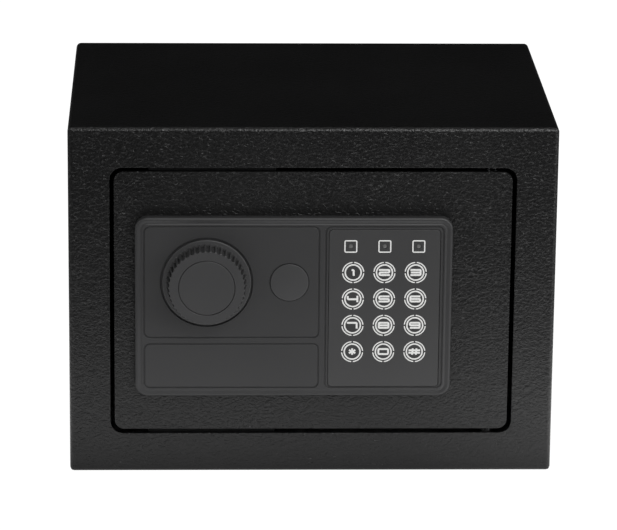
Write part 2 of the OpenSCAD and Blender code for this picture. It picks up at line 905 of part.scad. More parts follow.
// The moulded knob: a revolved skirt, grip and hub, with slots cut round the grip
module knob() {
    hollow_r = face_r - rib_depth - knob_wall;
    hollow_h = grip_h - disc_t - knob_wall + skirt_t;
    edge = 0.4;
    slot_foot = 0.3;
    slot_r = (face_r + grip_r) / 2;
    lean = atan2(grip_r - face_r, grip_h);
    color("#3b3b3d") translate([knob_x, skirt_y1, knob_z]) rotate([90, 0, 0]) {
        difference() {
            rotate_extrude() polygon([
                [spindle_r, 0], [hub_r, 0], [hub_r, hollow_h], [hollow_r, hollow_h], [hollow_r, 0],
                [skirt_r - edge, 0], [skirt_r, edge], [skirt_r, skirt_t - edge], [skirt_r - edge, skirt_t],
                [grip_r, skirt_t], [face_r, skirt_t + grip_h - edge], [face_r - edge, skirt_t + grip_h],
                [disc_r + disc_gap, skirt_t + grip_h], [disc_r + disc_gap, skirt_t + grip_h - disc_t],
                [spindle_r, skirt_t + grip_h - disc_t]
            ]);
            for (i = [0 : rib_count - 1]) {
                rotate((i + 0.5) * 360 / rib_count) translate([slot_r - rib_depth, 0, skirt_t]) {
                    rotate([0, -lean, 0]) translate([0, -slot_w / 2, slot_foot]) {
                        cube([4 * rib_depth, slot_w, grip_h + over]);
                    }
                }
            }
        }
    }
}

module knob_disc() {
    color("#414143") rod(knob_x, knob_z, knob_y0 + disc_sink, knob_y0 + disc_t, disc_r);
}

module spindle() {
    color("silver") rod(knob_x, knob_z, knob_y0 + disc_t, crank_y + crank_t, spindle_r);
}

module spindle_bush() {
    color("tan") difference() {
        union() {
            rod(knob_x, knob_z, door_y0, door_y1 + bush_tail, spindle_r + running_gap + bush_wall);
            rod(knob_x, knob_z, door_y0 - bush_lip_t, door_y0, bush_lip_r);
        }
        rod(knob_x, knob_z, door_y0 - 2 * over, door_y1 + bush_tail + over, spindle_r + running_gap);
    }
}

// ---- Boltwork ----

// The crank on the spindle's end, with a lobe for its pin
module crank() {
    color("silver") slab(crank_y, crank_t) difference() {
        union() {
            translate([knob_x, knob_z]) circle(spindle_r + crank_wall);
            translate([pin_x, pin_z]) circle(lobe_r);
            translate([knob_x, knob_z]) rotate(90 - half_turn) translate([0, -lobe_r]) {
                square([crank_r, 2 * lobe_r]);
            }
        }
        translate([knob_x, knob_z]) circle(spindle_r);
        translate([pin_x, pin_z]) circle(crank_pin_r);
    }
}

module crank_pin() {
    color("silver") rod(pin_x, pin_z, crank_y, crank_pin_y1, crank_pin_r);
}

// The plate that carries both bolts: a slot for the crank pin, two guide slots and two notches
module bolt_carriage() {
    guide_r = stud_r + slide_gap;
    slot_x0 = stud_x - guide_r;
    slot_x1 = stud_x + throw + guide_r;
    pin_slot_r = crank_pin_r + slide_gap;
    color("#a8a8aa") {
        slab(carriage_y, carriage_t) difference() {
            union() {
                rfield(flange_x0, carriage_z0, pin_x + pin_slot_r + pin_slot_wall, flange_z1, carriage_r);
                rfield(flange_x0, carriage_z0, carriage_x1, carriage_z0 + arm_h, carriage_r);
                translate([flange_x0, flange_z0]) square([carriage_t, flange_z1 - flange_z0]);
            }
            for (z = [pin_z, knob_z + crank_r]) {
                translate([pin_x, z]) circle(pin_slot_r);
            }
            translate([pin_x - pin_slot_r, pin_z]) {
                square([2 * pin_slot_r, knob_z + crank_r - pin_z]);
            }
            for (z = stud_z) {
                rfield(slot_x0, z - guide_r, slot_x1, z + guide_r, guide_r - 0.01);
            }
            for (x = [lock_x, lock_x + throw]) {
                translate([x - notch_w / 2, carriage_z0 - over]) square([notch_w, notch_h + over]);
            }
        }
        difference() {
            block([flange_x0, flange_y0, flange_z0], [flange_x1, carriage_y, flange_z1]);
            for (z = bolt_z) {
                translate([flange_x0 - over, bolt_y, z]) rotate([0, 90, 0]) {
                    cylinder(r = bolt_tail_r, h = carriage_t + 2 * over);
                }
            }
        }
    }
}

// A round bolt with a chamfered tip and a tail riveted into the carriage
module bolt(z) {
    color("silver") translate([bolt_tip_x, bolt_y, z]) rotate([0, 90, 0]) {
        cylinder(r1 = bolt_r - bolt_tip_t, r2 = bolt_r, h = bolt_tip_t);
        translate([0, 0, bolt_tip_t]) cylinder(r = bolt_r, h = flange_x0 - bolt_tip_x - bolt_tip_t);
        translate([0, 0, flange_x0 - bolt_tip_x]) cylinder(r = bolt_tail_r, h = carriage_t + bolt_rivet_t);
    }
}

module bolt_upper() {
    bolt(bolt_z[1]);
}

module bolt_lower() {
    bolt(bolt_z[0]);
}

// Shouldered studs that the carriage slides on
module guide_studs() {
    color("silver") for (z = stud_z) {
        rod(stud_x, z, door_y1, carriage_y - slide_gap, stud_head_r);
        rod(stud_x, z, carriage_y - slide_gap, carriage_y1 + slide_gap, stud_r);
        rod(stud_x, z, carriage_y1 + slide_gap, carriage_y1 + slide_gap + stud_head_t, stud_head_r);
    }
}

// ---- Emergency lock and solenoid ----

module lock_housing() {
    color("silver") difference() {
        union() {
            rod(lock_x, knob_z, door_y0 - lock_head_t, door_y0, lock_head_r);
            rod(lock_x, knob_z, door_y0, barrel_y1, barrel_r);
        }
        rod(lock_x, knob_z, door_y0 - lock_head_t - over, barrel_y1 + over, plug_r + running_gap);
    }
}

module lock_nut() {
    color("silver") difference() {
        translate([lock_x, door_y1 + nut_t, knob_z]) rotate([90, 0, 0]) {
            cylinder(r = nut_r, h = nut_t, $fn = 6);
        }
        rod(lock_x, knob_z, door_y1 - over, door_y1 + nut_t + over, barrel_r);
    }
}

// The turning plug with its keyway, and a square tail for the cam
module lock_plug() {
    keyway_w = 1.3;
    keyway_h = 7;
    keyway_l = 12;
    plug_y = door_y0 - lock_head_t + plug_sink;
    color("#b5b5b7") {
        difference() {
            rod(lock_x, knob_z, plug_y, barrel_y1, plug_r);
            block(
                [lock_x - keyway_h / 2, plug_y - over, knob_z - keyway_w / 2],
                [lock_x + keyway_h / 2, plug_y + keyway_l, knob_z + keyway_w / 2]
            );
        }
        difference() {
            block(
                [lock_x - tail_r, barrel_y1, knob_z - tail_r],
                [lock_x + tail_r, cam_y1, knob_z + tail_r]
            );
            rod(lock_x, knob_z, cam_y1 - cam_screw_l, cam_y1 + over, screw_r);
        }
    }
}

module lock_cam() {
    color("#a8a8aa") slab(cam_y0, cam_t) difference() {
        union() {
            translate([lock_x, knob_z]) circle(cam_hub_r);
            translate([lock_x - cam_w / 2, knob_z - cam_reach + cam_w / 2]) {
                square([cam_w, cam_reach - cam_w / 2]);
            }
            translate([lock_x, knob_z - cam_reach + cam_w / 2]) circle(cam_w / 2);
        }
        translate([lock_x, knob_z]) square(2 * tail_r, center = true);
    }
}

module cam_screw() {
    color("silver") back_screw(
        lock_x, knob_z, cam_y1, cam_y1 - cam_screw_l, screw_r, tail_r * 1.5, cam_screw_head_t
    );
}

// A U-shaped frame with its foot on the door plate
module solenoid_frame() {
    color("#c8c8ca") difference() {
        union() {
            block(
                [lock_x - coil_w / 2, door_y1, coil_z0],
                [lock_x + coil_w / 2, door_y1 + coil_plate_t, coil_z1]
            );
            for (z = [coil_z0, coil_z1 - coil_plate_t]) {
                block(
                    [lock_x - coil_w / 2, door_y1, z],
                    [lock_x + coil_w / 2, coil_y1, z + coil_plate_t]
                );
            }
        }
        translate([lock_x, plunger_y, coil_z1 - coil_plate_t - over]) {
            cylinder(r = plunger_r + slide_gap, h = coil_plate_t + 2 * over);
        }
    }
}

module solenoid_coil() {
    coil_bottom = coil_z0 + coil_plate_t;
    coil_h = coil_z1 - coil_z0 - 2 * coil_plate_t;
    waist_r = coil_r - coil_sink;
    color("#b0532a") translate([lock_x, plunger_y, coil_bottom]) difference() {
        rotate_extrude() polygon([
            [0, 0], [coil_r, 0], [coil_r, coil_end_t], [waist_r, coil_end_t],
            [waist_r, coil_h - coil_end_t], [coil_r, coil_h - coil_end_t], [coil_r, coil_h], [0, coil_h]
        ]);
        translate([0, 0, coil_floor]) cylinder(r = plunger_r + slide_gap, h = coil_h);
    }
}

module solenoid_plunger() {
    plunger_bottom = coil_z0 + coil_plate_t + coil_floor + plunger_room;
    color("silver") difference() {
        translate([lock_x, plunger_y, plunger_bottom]) {
            cylinder(r = plunger_r, h = plunger_top - plunger_bottom);
        }
        rod(lock_x, cross_pin_z, plunger_y - plunger_r - over, plunger_y + plunger_r + over, cross_pin_r);
    }
}

module plunger_pin() {
    color("silver") rod(
        lock_x, cross_pin_z, plunger_y - plunger_r, cam_y1 + cross_pin_proud, cross_pin_r
    );
}

// The cap over the keyhole: a domed head on a hollow plug
module keyhole_cap() {
    dome_steps = 8;
    plug_l = door_y0 - lock_head_t - cap_seat_y;
    bore_r = cap_plug_r - cap_wall;
    color("#414143") translate([lock_x, cap_seat_y - slide_gap, knob_z]) rotate([90, 0, 0]) {
        rotate_extrude() polygon([
            [0, 0], [bore_r, 0], [bore_r, -plug_l], [cap_plug_r, -plug_l],
            [cap_plug_r, 0], [cap_r, 0], [cap_r, cap_head_t],
            for (i = [1 : dome_steps]) [
                cap_r * (1 - i / dome_steps),
                cap_head_t + cap_dome_t * (1 - pow(1 - i / dome_steps, 2))
            ]
        ]);
    }
}

// ---- Power and electronics ----

// A moulded tray for four cells side by side, on legs that stand on the door plate
module battery_holder() {
    color("#2a2a2c") {
        difference() {
            block([holder_x0, holder_y0, holder_z0], [holder_x1, holder_y1, holder_z1]);
            block([bay_x0, cell_y, bay_z0], [bay_x1, holder_y1 + over, bay_z1]);
            block([bay_x0, cell_y - bay_r, bay_z0], [bay_x1, cell_y + over, bay_z1]);
            for (i = [0 : cell_count - 1]) {
                translate([bay_x0, cell_y, cell_z(i)]) rotate([0, 90, 0]) {
                    cylinder(r = cell_r + cell_bed_gap, h = bay_x1 - bay_x0);
                }
            }
        }
        for (x = [holder_x0 + leg_inset, holder_x1 - leg_inset]) {
            for (z = [holder_z0 + leg_inset, holder_z1 - leg_inset]) {
                rod(x, z, door_y1, holder_y0, holder_leg_r);
            }
        }
    }
}

function cell_z(i) = bay_z0 + (i + 0.5) * cell_pitch;
function cell_x(i) = i % 2 == 0 ? bay_x0 + cell_room : bay_x1 - cell_room - cell_l;

// Four cells, alternate ones turned end for end
module battery_cells() {
    nub_r = 2.7;
    nub_l = 1.4;
    color("#8c8f3a") for (i = [0 : cell_count - 1]) {
        translate([cell_x(i) + cell_l / 2, cell_y, cell_z(i)]) rotate([0, i % 2 == 0 ? 90 : -90, 0]) {
            translate([0, 0, nub_l - cell_l / 2]) cylinder(r = cell_r, h = cell_l - nub_l);
            translate([0, 0, -cell_l / 2]) cylinder(r = nub_r, h = nub_l);
        }
    }
}

// A plate at each nub and a sprung plate at each flat end
module battery_contacts() {
    plate_t = 0.35;
    plate_w = 9;
    spring_r = 3.6;
    spring_tip_r = 2.4;
    color("silver") for (i = [0 : cell_count - 1]) {
        at_left = i % 2 == 0;
        nub_x = at_left ? bay_x0 : bay_x1 - plate_t;
        flat_x = at_left ? bay_x1 - plate_t : bay_x0;
        spring_gap = bay_x1 - bay_x0 - cell_room - cell_l - plate_t;
        for (x = [nub_x, flat_x]) {
            translate([x + plate_t / 2, cell_y, cell_z(i)]) {
                cube([plate_t, plate_w, plate_w], center = true);
            }
        }
        translate([at_left ? flat_x : flat_x + plate_t, cell_y, cell_z(i)]) {
            rotate([0, at_left ? -90 : 90, 0]) {
                cylinder(r1 = spring_r, r2 = spring_tip_r, h = spring_gap);
            }
        }
    }
}

// The lid over the cells, with a rim that enters the cover and a finger ledge
module battery_cover() {
    lid_y = cover_y1 + lid_gap;
    rim_t = 1.2;
    rim_gap = 0.2;
    lid_r = 3;
    grip_count = 4;
    grip_w = 18;
    grip_rib = 1.1;
    grip_pitch = 2.4;
    grip_inset = 4;
    color("#2a2a2c") {
        difference() {
            slab(lid_y, lid_t) {
                rfield(bay_x0 - lid_lip, bay_z0 - lid_lip, bay_x1 + lid_lip, bay_z1 + lid_lip, lid_r);
            }
            for (i = [0 : grip_count - 1]) {
                translate([(bay_x0 + bay_x1) / 2, lid_y + lid_t, bay_z1 - grip_inset - grip_pitch * i]) {
                    cube([grip_w, lid_t / 2, grip_rib], center = true);
                }
            }
        }
        slab(pan_y1 + rim_gap, lid_y - pan_y1 - rim_gap) difference() {
            rfield(
                bay_x0 + lid_gap, bay_z0 + lid_gap, bay_x1 - lid_gap, bay_z1 - lid_gap, bay_r - lid_gap
            );
            rfield(
                bay_x0 + lid_gap + rim_t, bay_z0 + lid_gap + rim_t,
                bay_x1 - lid_gap - rim_t, bay_z1 - lid_gap - rim_t, bay_r - rim_t - lid_gap
            );
        }
    }
}

module control_board() {
    board_r = 1;
    chip_w = 11;
    chip_h = 7;
    chip_t = 1.6;
    chip_inset = 18.5;
    chip_x = main_x0 + chip_inset;
    chip_z = (main_z0 + main_z1) / 2 - chip_h / 2;
    color("#1f5a36") {
        slab(main_y, main_t) rfield(main_x0, main_z0, main_x1, main_z1, board_r);
        block([chip_x, main_y1, chip_z], [chip_x + chip_w, main_y1 + chip_t, chip_z + chip_h]);
    }
}

module buzzer() {
    color("#151515") difference() {
        rod(buzzer_x, buzzer_z, main_y - buzzer_t, main_y, buzzer_r);
        rod(
            buzzer_x, buzzer_z, main_y - buzzer_t - over, main_y - buzzer_t + buzzer_hole_r, buzzer_hole_r
        );
    }
}

module reset_switch() {
    color("#303030") block(
        [reset_x - switch_w / 2, main_y1, reset_z - switch_w / 2],
        [reset_x + switch_w / 2, main_y1 + switch_t, reset_z + switch_w / 2]
    );
}

module reset_button() {
    color("#c22020") {
        rod(reset_x, reset_z, reset_y0, reset_y1 - reset_edge, reset_r);
        translate([reset_x, reset_y1 - reset_edge, reset_z]) rotate([-90, 0, 0]) {
            cylinder(r1 = reset_r, r2 = reset_r - reset_edge, h = reset_edge);
        }
    }
}

// Leads from the keypad, the solenoid and the cells to the control board
module wire_loom() {
    lead_r = 0.8;
    lead_depth = 3;
    lead_low = 8;
    lead_slope = 6;
    lead_inset = 9;
    tail_inset = 6;
    coil_side = lock_x + coil_r - coil_sink;
    riser_x = (lock_x + coil_r + holder_x0) / 2;
    lead_y = main_y - lead_depth;
    lead_z = main_z0 + lead_inset;
    lead_x = main_x0 + lead_inset;
    color("#8a1c1c") {
        rod(pad_cx, wire_z, board_y + board_t, main_y, wire_r);
        lead([
            [coil_side, plunger_y, coil_z0 + lead_low], [riser_x, plunger_y, coil_z0 + lead_low],
            [riser_x, lead_y, coil_z0 + lead_low + lead_slope], [riser_x, lead_y, lead_z],
            [lead_x, lead_y, lead_z], [lead_x, main_y, lead_z]
        ], lead_r);
        translate([main_x0 + tail_inset, main_y + main_t / 2, holder_z1]) {
            cylinder(r = lead_r - 0.05, h = main_z0 - holder_z1);
        }
    }
}

body_shell();
back_panel();
hinge_bracket_upper();
hinge_bracket_lower();
door_stops();
floor_mat();
door_plate();
door_pan();
inner_cover();
cover_screws();
hinge_arm_upper();
hinge_arm_lower();
hinge_pin_upper();
hinge_pin_lower();
control_panel();
keypad_overlay();
keypad_board();
led_lenses();
panel_screws();
spindle_bush();
guide_studs();
lock_housing();
lock_nut();
solenoid_frame();
solenoid_coil();
battery_holder();
battery_cells();
battery_contacts();
control_board();
buzzer();
reset_switch();
wire_loom();
knob();
knob_disc();
spindle();
crank();
crank_pin();
bolt_carriage();
bolt_upper();
bolt_lower();
solenoid_plunger();
plunger_pin();
lock_plug();
lock_cam();
cam_screw();
keyhole_cap();
battery_cover();
reset_button();
key_1();
key_2();
key_3();
key_4();
key_5();
key_6();
key_7();
key_8();
key_9();
key_star();
key_0();
key_hash();
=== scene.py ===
import bpy
import bmesh
import json
import math
from mathutils import Matrix, Vector


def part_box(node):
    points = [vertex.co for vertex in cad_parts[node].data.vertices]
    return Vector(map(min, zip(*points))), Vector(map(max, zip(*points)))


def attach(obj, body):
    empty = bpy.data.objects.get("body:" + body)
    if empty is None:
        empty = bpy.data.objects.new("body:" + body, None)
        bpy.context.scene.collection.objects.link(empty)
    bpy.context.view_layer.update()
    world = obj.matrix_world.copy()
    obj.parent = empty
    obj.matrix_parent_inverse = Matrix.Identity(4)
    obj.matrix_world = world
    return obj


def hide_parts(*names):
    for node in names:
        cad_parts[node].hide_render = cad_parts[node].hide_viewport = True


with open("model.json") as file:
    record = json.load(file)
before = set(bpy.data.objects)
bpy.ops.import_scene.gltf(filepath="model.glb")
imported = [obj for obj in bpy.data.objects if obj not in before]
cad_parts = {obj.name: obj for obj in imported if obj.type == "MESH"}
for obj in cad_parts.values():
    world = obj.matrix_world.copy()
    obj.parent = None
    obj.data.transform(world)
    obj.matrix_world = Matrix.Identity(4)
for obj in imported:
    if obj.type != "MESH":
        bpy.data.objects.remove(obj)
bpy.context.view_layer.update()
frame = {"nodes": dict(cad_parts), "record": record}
cadNodes = frame["nodes"]
mm = 0.001
print("frame loaded:", len(cadNodes), "pieces")


def inScene(name, data):
    thing = bpy.data.objects.new(name, data)
    bpy.context.scene.collection.objects.link(thing)
    return thing


# camera, set to the photograph
cameraView = {
    "place": (-0.06266, -1.81197, 0.62255),
    "yaw": -2.0126,  # degrees, negative looks to the right
    "pitch": 16.7288,  # degrees down
    "roll": 0.5797,
    "focal": 3828.55,  # pixels of the 617 pixel wide picture
    "frameWidth": 617,
    "sensor": 36.0,
    "clip": (0.05, 50.0),
}


def makeCamera(view):
    yaw, pitch, roll = (math.radians(view[k]) for k in ("yaw", "pitch", "roll"))
    ahead = Vector((-math.sin(yaw) * math.cos(pitch), math.cos(yaw) * math.cos(pitch), -math.sin(pitch)))
    level = Vector((math.cos(yaw), math.sin(yaw), 0.0))
    upright = level.cross(ahead)
    right = level * math.cos(roll) + upright * math.sin(roll)
    up = upright * math.cos(roll) - level * math.sin(roll)
    data = bpy.data.cameras.new("photoCamera")
    data.sensor_fit = "HORIZONTAL"
    data.sensor_width = view["sensor"]
    data.lens = view["focal"] / view["frameWidth"] * view["sensor"]
    data.clip_start, data.clip_end = view["clip"]
    camera = inScene("photoCamera", data)
    turn = Matrix((right, up, -ahead)).transposed().to_4x4()
    camera.matrix_world = Matrix.Translation(view["place"]) @ turn
    bpy.context.scene.camera = camera


makeCamera(cameraView)
print("camera placed")


# node trees
class Wire:
    # a node's output, so that a sum written in Python adds its Math nodes
    def __init__(self, graph, socket):
        self.graph, self.socket = graph, socket

    def maths(self, operation, *values, clamp=False):
        return self.graph.add("ShaderNodeMath", {"operation": operation, "use_clamp": clamp}, values)

    def __add__(self, other):
        return self.maths("ADD", self, other)

    def __radd__(self, other):
        return self.maths("ADD", other, self)

    def __sub__(self, other):
        return self.maths("SUBTRACT", self, other)

    def __rsub__(self, other):
        return self.maths("SUBTRACT", other, self)

    def __mul__(self, other):
        return self.maths("MULTIPLY", self, other)

    def __rmul__(self, other):
        return self.maths("MULTIPLY", other, self)

    def __truediv__(self, other):
        return self.maths("DIVIDE", self, other)

    def __rtruediv__(self, other):
        return self.maths("DIVIDE", other, self)

    def __pow__(self, other):
        return self.maths("POWER", self, other)

    def __rpow__(self, other):
        return self.maths("POWER", other, self)

    def __abs__(self):
        return self.maths("ABSOLUTE", self)

    def over(self, other):
        return self.maths("GREATER_THAN", self, other)

    def clamped(self):
        return self.maths("ADD", self, 0.0, clamp=True)

    def fraction(self):
        return self.maths("FRACT", self)


def socketOf(sockets, key):
    # by its number, its identifier, or its name with or without underscores
    if isinstance(key, int):
        return sockets[key]
    return next(s for s in sockets if s.enabled and (s.name == key.replace("_", " ") or s.identifier == key))


class Graph:
    def __init__(self, tree):
        self.tree = tree

    def add(self, kind, settings=None, values=(), output=0, **named):
        # one node: its settings first, then the values or links of its sockets, in order or by name
        node = self.tree.nodes.new(kind)
        for key, value in (settings or {}).items():
            if key == "stops":
                ramp = node.color_ramp.elements
                while len(ramp) < len(value):
                    ramp.new(0.5)
                for stop, (at, colour) in zip(ramp, value):
                    stop.position, stop.color = at, colour
            else:
                setattr(node, key, value)
        for key, value in (*enumerate(values), *named.items()):
            self.plug(socketOf(node.inputs, key), value)
        if isinstance(output, tuple):
            return [Wire(self, socketOf(node.outputs, one)) for one in output]
        return Wire(self, socketOf(node.outputs, output)) if node.outputs else node

    def plug(self, place, value):
        if isinstance(value, Wire):
            self.tree.links.new(value.socket, place)
        elif place.type == "RGBA":
            place.default_value = (*value[:3], 1.0)
        else:
            place.default_value = value

    def split(self, vector):
        return self.add("ShaderNodeSeparateXYZ", values=[vector], output=("X", "Y", "Z"))

    def join(self, x, y, z):
        return self.add("ShaderNodeCombineXYZ", X=x, Y=y, Z=z)


class Finish(Graph):
    # a material: plain values go straight onto the shader's sockets
    def __init__(self, name, **plain):
        self.material = bpy.data.materials.new(name)
        self.material.use_nodes = True
        super().__init__(self.material.node_tree)
        self.tree.nodes.clear()
        self.shader = self.add("ShaderNodeBsdfPrincipled", **plain)
        self.end = self.add("ShaderNodeOutputMaterial", Surface=self.shader)
        self.place = self.add("ShaderNodeTexCoord", output="Object")

    def feed(self, **named):
        for key, value in named.items():
            self.plug(socketOf(self.shader.socket.node.inputs, key), value)

    def stretched(self, x, y, z):
        return self.add("ShaderNodeMapping", Vector=self.place, Scale=(x, y, z))

    def noise(self, scale, detail=3.0, rough=0.55, bend=0.0, at=None):
        return self.add("ShaderNodeTexNoise", Vector=at or self.place, Scale=scale, Detail=detail,
                        Roughness=rough, Distortion=bend)

    def cells(self, scale):
        return self.add("ShaderNodeTexVoronoi", {"feature": "F1"}, Vector=self.place, Scale=scale)

    def spread(self, value, low, high, toLow=0.0, toHigh=1.0):
        return self.add("ShaderNodeMapRange", {"clamp": True}, Value=value, From_Min=low, From_Max=high,
                        To_Min=toLow, To_Max=toHigh)

    def blend(self, factor, first, second):
        return self.add("ShaderNodeMix", {"data_type": "RGBA"}, output="Result_Color",
                        Factor_Float=factor, A_Color=first, B_Color=second)

    def bump(self, height, depth, strength=1.0):
        self.feed(Normal=self.add("ShaderNodeBump", Height=height, Distance=depth, Strength=strength))


def shaded(tint, share):
    return tuple(min(1.0, c * share) for c in tint)


# finishes: every grain, peel or noise scale is in features per metre
wrinklePaints = {
    "bodyPaint": {"tint": (0.0028, 0.0028, 0.003), "wrinkle": 640, "depth": 0.46 * mm},
    "doorPaint": {"tint": (0.003, 0.003, 0.0032), "wrinkle": 660, "depth": 0.46 * mm},
}
smoothPaints = {
    "bracketPaint": {"tint": (0.007, 0.007, 0.0075), "rough": 0.5},
    "trayPaint": {"tint": (0.006, 0.006, 0.0064), "rough": 0.5},
}
plastics = {
    "panelPlastic": {"tint": (0.034, 0.034, 0.0352), "rough": 0.48},
    "overlayPlastic": {"tint": (0.046, 0.046, 0.047), "rough": 0.44, "scale": 3200, "depth": 0.02 * mm},
    "knobPlastic": {"tint": (0.046, 0.046, 0.0474), "rough": 0.46},
    "keyPlastic": {"tint": (0.038, 0.038, 0.0387), "rough": 0.45, "scale": 3200, "depth": 0.02 * mm},
    "capPlastic": {"tint": (0.051, 0.051, 0.0525), "rough": 0.4},
    "lensPlastic": {
        "tint": (0.14, 0.14, 0.138), "rough": 0.3, "scale": 2000, "depth": 0.01 * mm, "coat": 0.2,
    },
    "blackPlastic": {"tint": (0.022, 0.022, 0.023), "rough": 0.44, "scale": 1900, "depth": 0.04 * mm},
    "redPlastic": {
        "tint": (0.42, 0.012, 0.012), "rough": 0.33, "scale": 1800, "depth": 0.02 * mm, "coat": 0.3,
    },
    "leadSleeve": {"tint": (0.2, 0.012, 0.012), "rough": 0.4, "scale": 1500, "depth": 0.03 * mm, "coat": 0.2},
}
inks = {"keyInk": {"tint": (0.9, 0.9, 0.885)}}
metals = {  # along: the stretch of the grinding marks in X, Y and Z
    "groundSteel": {"tint": (0.56, 0.56, 0.57), "rough": 0.27, "along": (60, 2600, 2600)},
    "zincPlate": {"tint": (0.52, 0.53, 0.55), "rough": 0.4, "along": (240, 240, 2200), "mottled": 0.4},
    "brightPlate": {"tint": (0.62, 0.62, 0.64), "rough": 0.2, "along": (900, 900, 900)},
    "nickelPlate": {"tint": (0.6, 0.59, 0.56), "rough": 0.18, "along": (300, 1800, 300)},
    "turnedBrass": {"tint": (0.62, 0.42, 0.16), "rough": 0.26, "along": (500, 2600, 500)},
}
felts = {"greyFelt": {"dark": (0.022, 0.022, 0.025), "light": (0.085, 0.085, 0.09), "depth": 0.5 * mm}}
coils = {
    "tapedCoil": {"dark": (0.24, 0.08, 0.015), "light": (0.42, 0.17, 0.035), "turns": 420, "depth": 0.1 * mm},
}
boards = {
    "circuitBoard": {
        "tracks": 260, "wander": 2.4, "pads": 240, "depth": 0.04 * mm,
        "copper": (0.012, 0.11, 0.045), "mask": (0.006, 0.055, 0.024), "tin": (0.5, 0.48, 0.42),
    },
}
cells = {
    "cellSleeve": {
        "dark": (0.05, 0.052, 0.055), "light": (0.085, 0.088, 0.092), "band": (0.34, 0.19, 0.05),
        "steel": (0.55, 0.55, 0.54), "bareEnd": 4.0 * mm, "bandEnd": 15.8 * mm, "blur": 0.2 * mm,
    },
}


def wrinklePaint(name, tint, wrinkle, depth):
    # powder coat: small leathery wrinkles with fine grain on them
    f = Finish(name, Specular_IOR_Level=0.5)
    folds = f.noise(1.0, 2.0, 0.5, 0.9, at=f.stretched(wrinkle * 0.8, wrinkle, wrinkle * 1.15))
    grain = f.noise(wrinkle * 3.3, 2.0, 0.6)
    patch = f.noise(14, 2.0)
    shade = f.spread(folds * 0.7 + patch * 0.3, 0.3, 0.7)
    f.feed(Base_Color=f.blend(shade, shaded(tint, 0.7), shaded(tint, 1.3)))
    f.feed(Roughness=f.spread(grain * 0.5 + patch * 0.5, 0.3, 0.7, 0.33, 0.43))
    f.bump(folds + grain * 0.1, depth)
    return f.material


def smoothPaint(name, tint, rough, peelDepth=0.06 * mm):
    # sprayed paint with a little orange peel and rubbed patches
    f = Finish(name)
    peel = f.noise(420, 2.0, 0.5)
    patch = f.noise(22, 3.0, 0.6)
    f.feed(Base_Color=f.blend(patch, shaded(tint, 0.8), shaded(tint, 1.3)))
    f.feed(Roughness=f.spread(patch, 0.3, 0.7, rough - 0.07, rough + 0.1))
    f.bump(peel, peelDepth, 0.6)
    return f.material


def mouldedPlastic(name, tint, rough, scale=2600, depth=0.03 * mm, coat=0.0):
    # spark-eroded moulding: fine even grain, faint flow marks and smudges
    f = Finish(name, Coat_Weight=coat, Coat_Roughness=0.35)
    grain = f.noise(scale, 2.0, 0.6)
    flow = f.noise(9, 3.0, 0.55, 0.6)
    smudge = f.noise(38, 4.0, 0.6, 0.4)
    f.feed(Base_Color=f.blend(flow * 0.6 + grain * 0.4, shaded(tint, 0.86), shaded(tint, 1.14)))
    f.feed(Roughness=f.spread(smudge * 0.7 + grain * 0.3, 0.3, 0.7, rough - 0.06, rough + 0.06))
    f.bump(grain, depth, 0.7)
    return f.material


def metalFinish(name, tint, rough, along, mottled=0.0, depth=0.01 * mm):
    f = Finish(name, Metallic=1.0)
    marks = f.noise(1.0, 4.0, 0.65, at=f.stretched(*along))
    cloud = f.noise(45, 3.0, 0.6)
    spangle = f.cells(260)
    shade = f.spread(marks * 0.5 + cloud * (0.5 - mottled * 0.5) + spangle * mottled, 0.2, 0.8)
    f.feed(Base_Color=f.blend(shade, shaded(tint, 0.74), shaded(tint, 1.16)))
    f.feed(Roughness=f.spread(marks * 0.6 + cloud * 0.4, 0.3, 0.7, rough - 0.08, rough + 0.1))
    f.bump(marks, depth, 0.6)
    return f.material


def inkFinish(name, tint):
    # screen print, a little thin in places
    f = Finish(name, Specular_IOR_Level=0.3)
    speck = f.noise(2400, 2.0, 0.6)
    f.feed(Base_Color=f.blend(f.spread(speck, 0.2, 0.55), shaded(tint, 0.86), tint))
    f.feed(Roughness=f.spread(speck, 0.3, 0.7, 0.45, 0.6))
    return f.material


def feltFinish(name, dark, light, depth):
    f = Finish(name, Specular_IOR_Level=0.1, Sheen_Weight=0.35, Sheen_Roughness=0.5)
    fibre = f.noise(1.0, 4.0, 0.7, 1.5, at=f.stretched(900, 1500, 900))
    clump = f.noise(260, 4.0, 0.6, 0.8)
    f.feed(Base_Color=f.blend(fibre * 0.6 + clump * 0.4, dark, light))
    f.feed(Roughness=f.spread(clump, 0.3, 0.7, 0.85, 0.98))
    f.bump(fibre * 0.5 + clump * 0.5, depth, 0.8)
    return f.material


def boardFinish(name, tracks, wander, pads, copper, mask, tin, depth):
    # solder mask over copper tracks, with scattered pads
    f = Finish(name, Coat_Weight=0.3, Coat_Roughness=0.2)
    x, y, z = f.split(f.place)
    track = abs((x * tracks + f.noise(60, 1.0) * wander).fraction() - 0.5)
    line = f.spread(track, 0.08, 0.14)
    pad = f.spread(f.cells(pads), 0.1, 0.14)
    f.feed(Base_Color=f.blend(pad, tin, f.blend(line, copper, mask)))
    f.feed(Metallic=1.0 - pad, Roughness=f.spread(pad, 0.0, 1.0, 0.3, 0.42))
    f.bump(line * -0.5 - pad, depth, 0.6)
    return f.material


